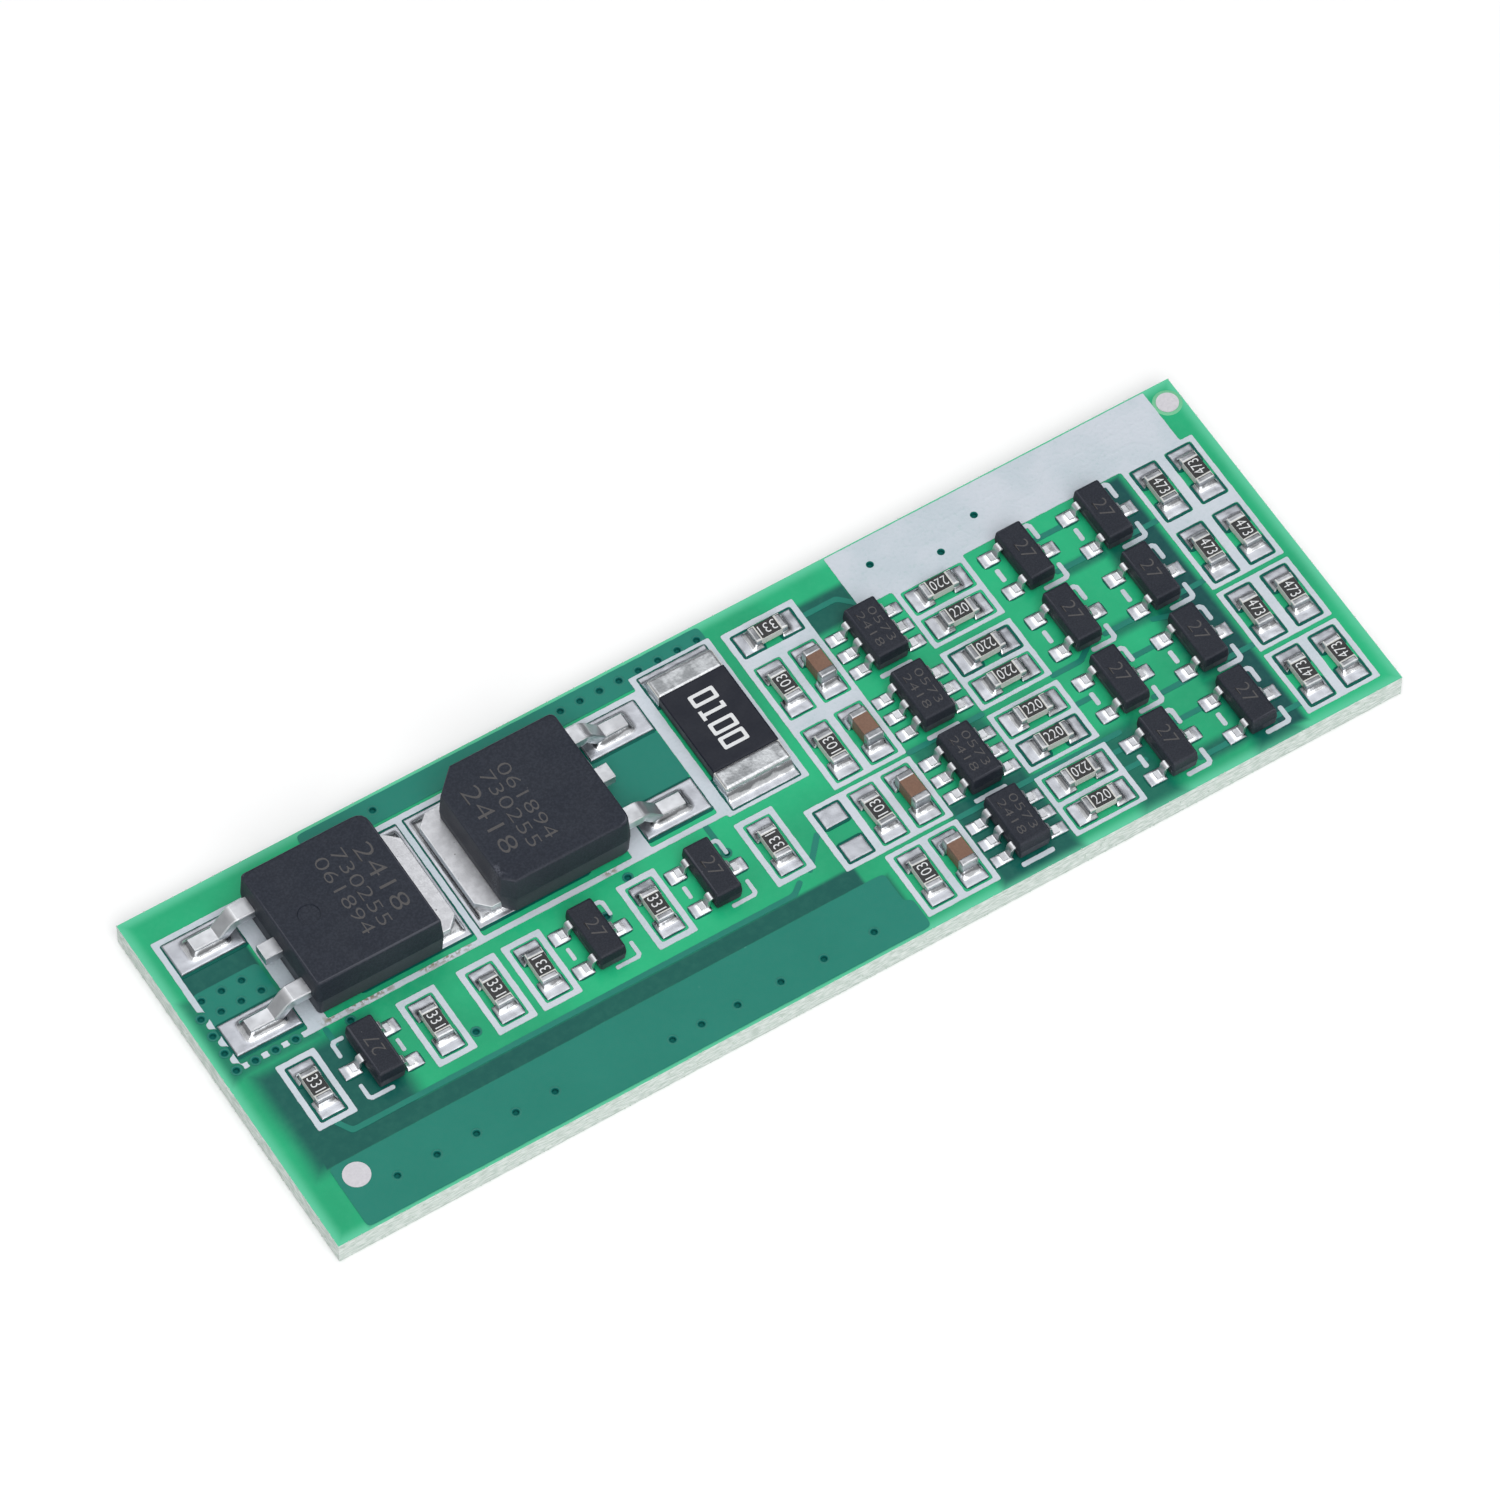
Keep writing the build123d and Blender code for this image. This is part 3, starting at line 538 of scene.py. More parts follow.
powerScuff = {"area": (-12.27, 1.48, -11.83, 1.92), "soft": 0.22, "share": 0.6, "colour": tone(104, 106, 116)}
finish = {
    "board": makeBoardMaterial(),
    "copper": makeCopperMaterial(),
    "legend": makeLegendMaterial(),
    "solder": makeSolder(),
    "lead": makeMetal("tinnedLead", dark=tone(178, 180, 184), light=tone(206, 208, 212),
                      rough=(0.30, 0.42), size=0.30, bump=0.004),
    "tab": makeMetal("satinTab", dark=tone(200, 201, 205), light=tone(216, 217, 221),
                     rough=(0.42, 0.54), size=0.07, bump=0.006, pits=0.22),
    "terminal": makeMetal("chipTerminal", dark=tone(126, 129, 133), light=tone(176, 178, 182),
                          rough=(0.30, 0.46), size=0.22, bump=0.006),
    "wrap": makeMetal("shuntTerminal", dark=tone(150, 153, 156), light=tone(200, 203, 206),
                      rough=(0.36, 0.50), size=0.12, bump=0.012),
    "land": makeMetal("tinnedLand", dark=tone(170, 172, 176), light=tone(206, 208, 212),
                      rough=(0.25, 0.45), size=0.8, bump=0.02, pits=0.05),
    "power": makeMoulding("powerMoulding", face=tone(30, 35, 46), rubbed=tone(42, 47, 58),
                          rough=(0.49, 0.61), size=0.09, bump=0.010, scuff=powerScuff),
    "small": makeMoulding("smallMoulding", face=tone(28, 32, 42), rubbed=tone(40, 44, 54),
                          rough=(0.45, 0.57), size=0.07, bump=0.008),
    "ceramic": makeGlaze("paleCeramic", dark=tone(188, 188, 184), light=tone(222, 222, 218),
                         rough=(0.39, 0.53), size=0.08, bump=0.008),
    "film": makeGlaze("blackFilm", dark=tone(36, 37, 38), light=tone(52, 53, 54),
                      rough=(0.36, 0.50), size=0.12, bump=0.006, shine=0.35),
    "coat": makeGlaze("shuntCoat", dark=tone(18, 22, 34), light=tone(28, 32, 44),
                      rough=(0.36, 0.50), size=0.14, bump=0.006, shine=0.28),
    "digit": makeGlaze("whiteInk", dark=tone(206, 208, 210), light=tone(232, 233, 235),
                       rough=(0.44, 0.58), size=0.05, bump=0.01),
    "laser": makeGlaze("laserMark", dark=tone(66, 66, 69), light=tone(90, 87, 86),
                       rough=(0.54, 0.68), size=0.06, bump=0.01),
    "brown": makeGlaze("brownCeramic", dark=tone(104, 76, 62), light=tone(132, 99, 80),
                       rough=(0.36, 0.50), size=0.09, bump=0.008),
    "fiducial": makeGlaze("barePad", dark=tone(192, 190, 196), light=tone(214, 212, 217),
                          rough=(0.49, 0.63), size=0.12, bump=0.02),
    "halo": makeGlaze("maskOpening", dark=tone(96, 180, 136), light=tone(120, 196, 152),
                      rough=(0.34, 0.48), size=0.1, bump=0.01),
    # Copper under the mask round each pad, darker than the other copper to paint the shade at the pad's
    # border
    "collar": makeGlaze("padCollarCopperAndShade", dark=tone(4, 82, 72), light=tone(8, 96, 84),
                        rough=(0.28, 0.42), size=0.3, bump=0.002, shine=0.1),
    "crumb": makeGlaze("glassCrumb", dark=tone(170, 190, 178), light=tone(206, 216, 208),
                       rough=(0.54, 0.68), size=0.05, bump=0.01),
    "viaRim": makePlain("viaRim", dark=tone(16, 102, 90), light=tone(34, 126, 110),
                        rough=0.35, size=0.2, shine=0.3),
    # Painted shade: the mask lining the via holes is given a darker colour than the rim
    "viaHole": makePlain("viaHole", dark=tone(14, 92, 86), light=tone(24, 108, 100),
                         rough=0.6, size=0.1, shine=0.04),
    "floor": makePlain("paleFloor", dark=tone(250, 250, 250), light=tone(255, 255, 255),
                       rough=0.7, size=6.0, shine=0.1, follows="Broad"),
}
print("materials made:", len(finish))


# Mesh helpers. A shape is a list of points, its faces, and a finish number for each face

def newShape():
    return {"points": [], "faces": [], "finish": []}


def addFaces(shape, points, faces, number=0):
    start = len(shape["points"])
    shape["points"] += [tuple(point) for point in points]
    shape["faces"] += [tuple(index + start for index in face) for face in faces]
    shape["finish"] += [number] * len(faces)


def addLoft(shape, rings, number=0, closeEnd=True):
    # Skin over rings of points that run anticlockwise seen from the far end
    count = len(rings[0])
    faces = []
    for i in range(len(rings) - 1):
        for j in range(count):
            here, beside = i * count + j, i * count + (j + 1) % count
            faces.append((here, beside, beside + count, here + count))
    faces.append(tuple(reversed(range(count))))
    if closeEnd:
        faces.append(tuple(range((len(rings) - 1) * count, len(rings) * count)))
    addFaces(shape, [point for ring in rings for point in ring], faces, number)


def movedShape(shape, matrix):
    shape["points"] = [tuple(matrix @ Vector(point)) for point in shape["points"]]
    return shape


def addMoved(target, source, matrix):
    addFaces(target, [matrix @ Vector(point) for point in source["points"]], source["faces"])


def meshFromShape(name, shape):
    mesh = bpy.data.meshes.new(name)
    mesh.from_pydata([Vector(point) * mm for point in shape["points"]], [], shape["faces"])
    numbers = mesh.attributes.new("finish", "INT", "FACE")
    numbers.data.foreach_set("value", shape["finish"])
    for label in ("wetness", "loose"):
        if label in shape:
            mesh.attributes.new(label, "FLOAT", "POINT").data.foreach_set("value", shape[label])
    work = bmesh.new()
    work.from_mesh(mesh)
    bmesh.ops.recalc_face_normals(work, faces=work.faces)
    work.to_mesh(mesh)
    work.free()
    return mesh


smoothAngle = 38    # edges that bend more than this stay sharp


def smoothMesh(mesh, angle):
    # Corner normals weighted by face area, so that flat faces stay flat beside rounded edges
    limit = math.cos(math.radians(angle))
    around = [[] for _ in mesh.vertices]
    for face in mesh.polygons:
        face.use_smooth = True
        weighted = (face.normal.copy(), face.area)
        for index in face.vertices:
            around[index].append(weighted)
    normals = []
    for face in mesh.polygons:
        own = face.normal
        for index in face.vertices:
            total = Vector((0, 0, 0))
            for normal, area in around[index]:
                if normal.dot(own) > limit:
                    total += normal * area
            normals.append(total.normalized() if total.length else own.copy())
    mesh.normals_split_custom_set(normals)


def addPiece(name, mesh, replaces=()):
    piece = bpy.data.objects.new(name, mesh)
    bpy.context.scene.collection.objects.link(piece)
    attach(piece, "root")
    if replaces:
        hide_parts(*replaces)
    return piece


def shapePiece(name, shape, materials, replaces=(), angle=smoothAngle):
    mesh = meshFromShape(name, shape)
    for material in materials:
        mesh.materials.append(material)
    numbers = mesh.attributes["finish"].data
    for face in mesh.polygons:
        face.material_index = numbers[face.index].value
    smoothMesh(mesh, angle)
    return addPiece(name, mesh, replaces)


def atHeight(points, z):
    return [(point.x, point.y, z) for point in points]


def circle(radius, count, middle=(0.0, 0.0), clockwise=False):
    whole = -math.tau if clockwise else math.tau
    ways = [whole * k / count for k in range(count)]
    return [Vector(middle) + Vector((math.cos(way), math.sin(way))) * radius for way in ways]


def boxCorners(low, high, wider=0.0):
    left, front, right, back = low.x - wider, low.y - wider, high.x + wider, high.y + wider
    return [Vector((left, front)), Vector((right, front)), Vector((right, back)), Vector((left, back))]


def roundBend(start, corner, end, steps):
    shares = [k / steps for k in range(steps + 1)]
    return [start * (1 - share) ** 2 + corner * 2 * share * (1 - share) + end * share ** 2
            for share in shares]


def cornerWays(corners, i):
    # A corner, and the directions to its neighbours before and after
    corner = Vector(corners[i][:2])
    before = (Vector(corners[i - 1][:2]) - corner).normalized()
    after = (Vector(corners[(i + 1) % len(corners)][:2]) - corner).normalized()
    return corner, before, after


def roundedCorners(corners, steps=3):
    # Outline, anticlockwise, from corners given as (x, y, size, is it round)
    points = []
    for i, (x, y, size, isRound) in enumerate(corners):
        corner, before, after = cornerWays(corners, i)
        start, end = corner + before * size, corner + after * size
        points += roundBend(start, corner, end, steps) if isRound else [start, end]
    return points


def roundedRectangle(halfX, halfY, size, steps=3):
    return roundedCorners([(halfX, -halfY, size, True), (halfX, halfY, size, True),
                           (-halfX, halfY, size, True), (-halfX, -halfY, size, True)], steps)


def insetOutline(points, inset):
    moved = []
    for i, point in enumerate(points):
        before = (point - points[i - 1]).normalized()
        after = (points[(i + 1) % len(points)] - point).normalized()
        first, second = Vector((-before.y, before.x)), Vector((-after.y, after.x))
        moved.append(point + (first + second) * inset / (1 + first.dot(second)))
    return moved


leastCorner = 0.15    # a corner moved inwards keeps at least this share of its size
cutShrink = 0.586    # a cut corner shrinks by this share of what the outline moves


def insetCorners(corners, inset):
    # Square-cornered outline moved inwards; its rounds and cuts shrink with it
    moved = []
    for i, (x, y, size, isRound) in enumerate(corners):
        corner, before, after = cornerWays(corners, i)
        spot = corner + (before + after) * inset
        smaller = size - inset * (1.0 if isRound else cutShrink)
        moved.append((spot.x, spot.y, max(smaller, leastCorner * size), isRound))
    return moved


def addRoundedBox(shape, middle, half, size, number=0, steps=2):
    # Block with every edge rounded
    rings = []
    for direction in (-1, 1):
        for k in range(steps + 1)[::-direction]:
            angle = math.pi / 2 * k / steps
            inset = size * (1 - math.sin(angle))
            z = middle[2] + direction * (half[2] - size * (1 - math.cos(angle)))
            corner = max(size - inset, leastCorner * size)
            outline = roundedRectangle(half[0] - inset, half[1] - inset, corner, steps)
            rings.append([(middle[0] + p.x, middle[1] + p.y, z) for p in outline])
    addLoft(shape, withSupport(rings), number)


def withSupport(rings, margin=0.03):
    # One more ring just inside each flat end, so that the rubbed edges and their painted highlight don't
    # spread over the flat faces
    ends = []
    for ring in (rings[0], rings[-1]):
        low = [min(point[i] for point in ring) for i in (0, 1)]
        high = [max(point[i] for point in ring) for i in (0, 1)]
        middle = [(low[i] + high[i]) / 2 for i in (0, 1)]
        share = [1 - 2 * margin / (high[i] - low[i]) for i in (0, 1)]
        ends.append([(middle[0] + (x - middle[0]) * share[0], middle[1] + (y - middle[1]) * share[1], z)
                     for x, y, z in ring])
    return [ends[0], *rings, ends[1]]


def bentPath(points, size, steps=3):
    # Side view of a formed strip, its corners rounded
    path = [Vector(points[0])]
    for i in range(1, len(points) - 1):
        corner = Vector(points[i])
        reach = min(size, (Vector(points[i - 1]) - corner).length * 0.48,
                    (Vector(points[i + 1]) - corner).length * 0.48)
        start = corner + (Vector(points[i - 1]) - corner).normalized() * reach
        end = corner + (Vector(points[i + 1]) - corner).normalized() * reach
        path += roundBend(start, corner, end, steps)
    return path + [Vector(points[-1])]


def addStrip(shape, path, widths, thickness, edge, matrix, number=0):
    # Flat strip along +X that follows a side view, widths given at its start and end
    rings = []
    for i, point in enumerate(path):
        ahead = path[min(i + 1, len(path) - 1)] - path[max(i - 1, 0)]
        normal = Vector((-ahead.y, ahead.x)).normalized()
        share = i / (len(path) - 1)
        half = (widths[0] * (1 - share) + widths[1] * share) / 2
        thick = thickness / 2
        ring = []
        for across, up in ((-half, -thick + edge), (-half + edge, -thick), (half - edge, -thick),
                           (half, -thick + edge), (half, thick - edge), (half - edge, thick),
                           (-half + edge, thick), (-half, thick - edge)):
            spot = point + normal * up
            ring.append(matrix @ Vector((spot.x, across, spot.y)))
        rings.append(ring)
    addLoft(shape, rings, number)


def turned(degrees, x=0.0, y=0.0, z=0.0):
    return Matrix.Translation((x, y, z)) @ Matrix.Rotation(math.radians(degrees), 4, "Z")


# Flat sheets: read the outline of a CAD node's upper face, soften it, and fill it again

def outlineLoops(node):
    weld = 0.002 * mm    # points this close are one
    work = bmesh.new()
    work.from_mesh(frame["nodes"][node].data)
    bmesh.ops.remove_doubles(work, verts=work.verts, dist=weld)
    top = max(vertex.co.z for vertex in work.verts)
    upper = [face for face in work.faces
             if face.normal.z > 0.9 and face.calc_center_median().z > top - weld]
    upperSet = set(upper)
    following = {}
    for face in upper:
        for loop in face.loops:
            if sum(other in upperSet for other in loop.edge.link_faces) == 1:
                following.setdefault(loop.vert, []).append(loop.link_loop_next.vert)
    loops = []
    while following:
        start = next(iter(following))
        loop, here = [], start
        while here in following:
            loop.append(Vector((here.co.x, here.co.y)) / mm)
            there = following[here].pop()
            if not following[here]:
                del following[here]
            here = there
        loops.append(loop)
    work.free()
    return loops


edgeWaves = ((2.2, 0), (7.5, 7))    # slow and quick waves of an edge: per millimetre, and added to the seed


def softenLoop(loop, step, rounds, wobble, seed):
    # Points every step, corners rubbed round, and edges that wander a little
    points = []
    for i, point in enumerate(loop):
        after = loop[(i + 1) % len(loop)]
        count = max(1, round((after - point).length / step))
        points += [point.lerp(after, k / count) for k in range(count)]
    if len(points) < 8:
        return points
    for _ in range(rounds):
        points = [point * 0.5 + (points[i - 1] + points[(i + 1) % len(points)]) * 0.25
                  for i, point in enumerate(points)]
    moved = []
    for i, point in enumerate(points):
        along = (points[(i + 1) % len(points)] - points[i - 1]).normalized()
        wave = sum(noise.noise(Vector((point.x * rate, point.y * rate, seed + shift)))
                   for rate, shift in edgeWaves)
        moved.append(point + Vector((-along.y, along.x)) * wave * wobble)
    return moved


def fillLoops(loops):
    # Triangles over flat loops, the inner ones being holes
    work = bmesh.new()
    edges = []
    for loop in loops:
        made = [work.verts.new((point.x, point.y, 0)) for point in loop]
        edges += [work.edges.new((made[i], made[(i + 1) % len(made)])) for i in range(len(made))]
    work.verts.index_update()
    bmesh.ops.triangle_fill(work, use_beauty=True, use_dissolve=False, edges=edges, normal=(0, 0, 1))
    faces = []
    for face in work.faces:
        corners = [vertex.index for vertex in face.verts]
        faces.append(corners if face.normal.z > 0 else corners[::-1])
    work.free()
    return faces


def addSheet(shape, loops, low, high):
    flat = [point for loop in loops for point in loop]
    count = len(flat)
    top = fillLoops(loops)
    faces = list(top) + [[index + count for index in reversed(face)] for face in top]
    start = 0
    for loop in loops:
        for i in range(len(loop)):
            here, after = start + i, start + (i + 1) % len(loop)
            faces.append((after, here, here + count, after + count))
        start += len(loop)
    addFaces(shape, atHeight(flat, high) + atHeight(flat, low), faces)


def islands(node):
    # Box of each separate solid in a CAD node, in millimetres
    mesh = frame["nodes"][node].data
    keys = [tuple(round(c / mm, 3) for c in vertex.co) for vertex in mesh.vertices]
    leader = {key: key for key in keys}

    def find(key):
        while leader[key] != key:
            leader[key] = leader[leader[key]]
            key = leader[key]
        return key

    for face in mesh.polygons:
        first = find(keys[face.vertices[0]])
        for index in face.vertices[1:]:
            leader[find(keys[index])] = first
    groups = {}
    for key in leader:
        groups.setdefault(find(key), []).append(key)
    return [(Vector([min(p[i] for p in group) for i in range(3)]),
             Vector([max(p[i] for p in group) for i in range(3)])) for group in groups.values()]


# Geometry Nodes: copies of a few master shapes on points that carry their kind and turn

def copiesTree(name, finishLabels):
    tree = bpy.data.node_groups.new(name, "GeometryNodeTree")
    face = tree.interface
    face.new_socket("Geometry", in_out="INPUT", socket_type="NodeSocketGeometry")
    face.new_socket("Masters", in_out="INPUT", socket_type="NodeSocketCollection")
    for label in ("Turn jitter", "Height low", "Height high", "Crinkle", "Crinkle scale"):
        face.new_socket(label, in_out="INPUT", socket_type="NodeSocketFloat")
    face.new_socket("Seed", in_out="INPUT", socket_type="NodeSocketInt")
    for label in finishLabels:
        face.new_socket(label, in_out="INPUT", socket_type="NodeSocketMaterial")
    face.new_socket("Geometry", in_out="OUTPUT", socket_type="NodeSocketGeometry")
    nodes, link = tree.nodes, tree.links.new
    given, result = nodes.new("NodeGroupInput"), nodes.new("NodeGroupOutput")

    def attribute(label, kind):
        made = nodes.new("GeometryNodeInputNamedAttribute")
        made.data_type = kind
        made.inputs["Name"].default_value = label
        return made.outputs["Attribute"]

    def chance(low, high, step):
        made = nodes.new("FunctionNodeRandomValue")
        made.data_type = "FLOAT"
        for label, value in (("Min", low), ("Max", high)):
            socket = [s for s in made.inputs if s.name == label and s.type == "VALUE"][0]
            feed(tree, socket, value)
        shifted = mathNode(tree, "ADD", given.outputs["Seed"], step)
        link(shifted, made.inputs["Seed"])
        return [s for s in made.outputs if s.type == "VALUE"][0]

    masters = nodes.new("GeometryNodeCollectionInfo")
    link(given.outputs["Masters"], masters.inputs["Collection"])
    masters.inputs["Separate Children"].default_value = True
    masters.inputs["Reset Children"].default_value = True
    place = nodes.new("GeometryNodeInstanceOnPoints")
    link(given.outputs["Geometry"], place.inputs["Points"])
    link(masters.outputs[0], place.inputs["Instance"])
    place.inputs["Pick Instance"].default_value = True
    link(attribute("kind", "INT"), place.inputs["Instance Index"])
    jitter = mathNode(tree, "MULTIPLY", chance(-1.0, 1.0, 1), given.outputs["Turn jitter"])
    spin = nodes.new("ShaderNodeCombineXYZ")
    link(mathNode(tree, "ADD", attribute("turn", "FLOAT"), jitter), spin.inputs["Z"])
    link(spin.outputs[0], place.inputs["Rotation"])
    stretch = nodes.new("ShaderNodeCombineXYZ")
    stretch.inputs["X"].default_value, stretch.inputs["Y"].default_value = 1.0, 1.0
    link(chance(given.outputs["Height low"], given.outputs["Height high"], 2), stretch.inputs["Z"])
    link(stretch.outputs[0], place.inputs["Scale"])
    real = nodes.new("GeometryNodeRealizeInstances")
    link(place.outputs["Instances"], real.inputs["Geometry"])
    ruffle = nodes.new("GeometryNodeSetPosition")
    link(real.outputs["Geometry"], ruffle.inputs["Geometry"])
    cloud = nodes.new("ShaderNodeTexNoise")
    cloud.inputs["Detail"].default_value = 1.0
    link(nodes.new("GeometryNodeInputPosition").outputs[0], cloud.inputs["Vector"])
    link(given.outputs["Crinkle scale"], cloud.inputs["Scale"])
    lift = mathNode(tree, "SUBTRACT", cloud.outputs[0], 0.5)
    lift = mathNode(tree, "MULTIPLY", lift, given.outputs["Crinkle"])
    lift = mathNode(tree, "MULTIPLY", lift, attribute("loose", "FLOAT"))
    push = nodes.new("ShaderNodeVectorMath")
    push.operation = "SCALE"
    link(nodes.new("GeometryNodeInputNormal").outputs[0], push.inputs[0])
    link(lift, push.inputs["Scale"])
    link(push.outputs[0], ruffle.inputs["Offset"])
    last = ruffle.outputs["Geometry"]
    number = attribute("finish", "INT")
    for index, label in enumerate(finishLabels):
        same = nodes.new("FunctionNodeCompare")
        same.data_type, same.operation = "INT", "EQUAL"
        whole = [s for s in same.inputs if s.type == "INT"]
        link(number, whole[0])
        whole[1].default_value = index
        paint = nodes.new("GeometryNodeSetMaterial")
        link(last, paint.inputs["Geometry"])
        link(same.outputs[0], paint.inputs["Selection"])
        link(given.outputs[label], paint.inputs["Material"])
        last = paint.outputs["Geometry"]
    link(last, result.inputs["Geometry"])
    return tree


def growCopies(name, masters, places, materials, options, replaces=(), angle=smoothAngle):
    # masters: shapes in order of kind; places: (x, y, z, kind, turn in degrees)
    shelf = bpy.data.collections.new(name + "Masters")
    bpy.context.scene.collection.children.link(shelf)
    for index, shape in enumerate(masters):
        shelf.objects.link(bpy.data.objects.new(f"{name}Master{index:02d}", meshFromShape(name, shape)))
    points = bpy.data.meshes.new(name + "Points")
    points.from_pydata([Vector(place[:3]) * mm for place in places], [], [])
    points.attributes.new("kind", "INT", "POINT").data.foreach_set("value", [p[3] for p in places])
    points.attributes.new("turn", "FLOAT", "POINT").data.foreach_set(
        "value", [math.radians(p[4]) for p in places])
    grower = bpy.data.objects.new(name + "Points", points)
    bpy.context.scene.collection.objects.link(grower)
    labels = [f"Finish {index}" for index in range(len(materials))]
    tree = copiesTree(name + "Copies", labels)
    values = {"Masters": shelf, "Turn jitter": 0.0, "Height low": 1.0, "Height high": 1.0,
              "Crinkle": 0.0, "Crinkle scale": 1.0, "Seed": 1}
    values.update(zip(labels, materials))
    values.update(options)
    modifier = grower.modifiers.new("copies", "NODES")
    modifier.node_group = tree
    for item in tree.interface.items_tree:
        if item.item_type == "SOCKET" and item.in_out == "INPUT" and item.name in values:
            modifier[item.identifier] = values[item.name]
    depsgraph = bpy.context.evaluated_depsgraph_get()
    mesh = bpy.data.meshes.new_from_object(grower.evaluated_get(depsgraph), depsgraph=depsgraph)
    mesh.name = name
    grower.modifiers.clear()
    for leftover in [grower, *shelf.objects]:
        bpy.data.objects.remove(leftover)
    bpy.data.collections.remove(shelf)
    smoothMesh(mesh, angle)
    print(name, "copies:", len(places), "faces:", len(mesh.polygons))
    return addPiece(name, mesh, replaces)


# Where the parts stand, from the CAD boxes

turnedParts = {"control_transistor_1"}    # stands the other way round
resistorNames = namesWith("supply_resistor", "threshold_resistor", "gate_resistor", "bias_resistor",
                          "control_resistor")
capacitorNames = namesWith("filter_capacitor")
transistorNames = namesWith("balance_transistor", "control_transistor")
circuitNames = namesWith("protection_ic")
powerNames = {side: namesWith(f"power_transistor_{side}") for side in ("left", "right")}


def standing(name):
    # Middle of a part, its lowest height, and its turn
    low, high = nodeBox(name)
    size = high - low
    along = 90 if name in resistorNames + capacitorNames and size.y > size.x else 0
    turn = along + (180 if name in turnedParts else 0)
    return (low.x + high.x) / 2, (low.y + high.y) / 2, low.z, turn


def partPlaces(names):
    # Points for copies of one shape, where these parts stand
    places = []
    for name in names:
        x, y, z, turn = standing(name)
        places.append((x, y, z, 0, turn))
    return places


def boardPiece():
    # CAD solids that are shown as they are
    for node, look in (("circuit_board", "board"), ("terminal_pads", "land"), ("fiducial_marks", "fiducial")):
        materials = frame["nodes"][node].data.materials
        materials.clear()
        materials.append(finish[look])


# Crumbs of glass and resin left along the sawn edges
edgeCrumbs = {
    "pitch": 0.16, "radius": 0.045, "sizes": (0.5, 0.7, 0.85, 1.0), "seed": 3,
    "corners": 5, "levels": [(-0.8, 0.55), (0.0, 1.0), (0.75, 0.6)],    # height and width of each ring
    "uneven": (0.7, 1.3), "unevenHeight": (0.8, 1.2),
    "belowTop": 0.02, "overBottom": 0.05, "clear": 0.1,    # near an edge of the board, or between the two
}


def crumbShape(chance, radius):
    plan = edgeCrumbs
    shape = newShape()
    rings = []
    for level, share in plan["levels"]:
        rings.append([(way.x * radius * share * chance.uniform(*plan["uneven"]),
                       way.y * radius * share * chance.uniform(*plan["uneven"]),
                       level * radius * chance.uniform(*plan["unevenHeight"]))
                      for way in circle(1.0, plan["corners"])])
    addLoft(shape, rings)
    return shape


def edgeCrumbPiece():
    plan = edgeCrumbs
    chance = random.Random(plan["seed"])
    masters = [crumbShape(chance, plan["radius"] * size) for size in plan["sizes"]]
    places = []
    corners = boxCorners(boardLow, boardHigh)
    for i, start in enumerate(corners):
        end = corners[(i + 1) % len(corners)]
        count = int((end - start).length / plan["pitch"])
        for k in range(count):
            spot = start.lerp(end, (k + chance.random()) / count)
            between = chance.uniform(plan["clear"], boardTop - plan["clear"])
            height = chance.choice((boardTop - plan["belowTop"], plan["overBottom"], between))
            places.append((spot.x, spot.y, height, chance.randrange(len(masters)), chance.uniform(0, 360)))
    growCopies("edgeCrumbs", masters, places, [finish["crumb"]], {})


# Vias: a low rim of mask round a shallow mouth, which the mask lines too; the mouth and hole are coloured
# darker than the rim as painted shade
viaPlan = {
    "sides": 16, "rim": 0.25, "crown": 0.21, "mouth": 0.165, "throat": 0.13,    # radii from the outside in
    "rimTop": 0.024, "crownTop": 0.032, "mouthTop": 0.026,
    "sunk": 0.03, "shoulder": 0.01, "depth": 0.14, "wall": 0.03,
}


def viaMiddles():
    # The holes are found in the board's upper face: every loop but the longest
    loops = outlineLoops("circuit_board")
    loops.sort(key=lambda loop: max((point - loop[0]).length for point in loop))
    return [sum(loop, Vector((0, 0))) / len(loop) for loop in loops[:-1]]


def viaShape():
    plan = viaPlan
    outer = plan["throat"] + plan["wall"]
    floor = -plan["depth"] - plan["wall"]
    # Radius, height over the board and finish of each ring
    profile = [(outer, floor, 0), (outer, -plan["sunk"] - plan["shoulder"], 0),
               (plan["rim"], -plan["sunk"], 0), (plan["rim"], plan["rimTop"], 0),
               (plan["crown"], plan["crownTop"], 0), (plan["mouth"], plan["mouthTop"], 1),
               (plan["throat"], 0.0, 1), (plan["throat"], -plan["depth"], 1)]
    shape = newShape()
    addLoft(shape, [atHeight(circle(radius, plan["sides"]), z) for radius, z, number in profile])
    shape["finish"] = [number for radius, z, number in profile[:-1] for k in range(plan["sides"])] + [0, 1]
    return shape


def viaPiece():
    places = [(middle.x, middle.y, boardTop, 0, 0) for middle in viaMiddles()]
    growCopies("platedVias", [viaShape()], places, [finish["viaRim"], finish["viaHole"]], {})


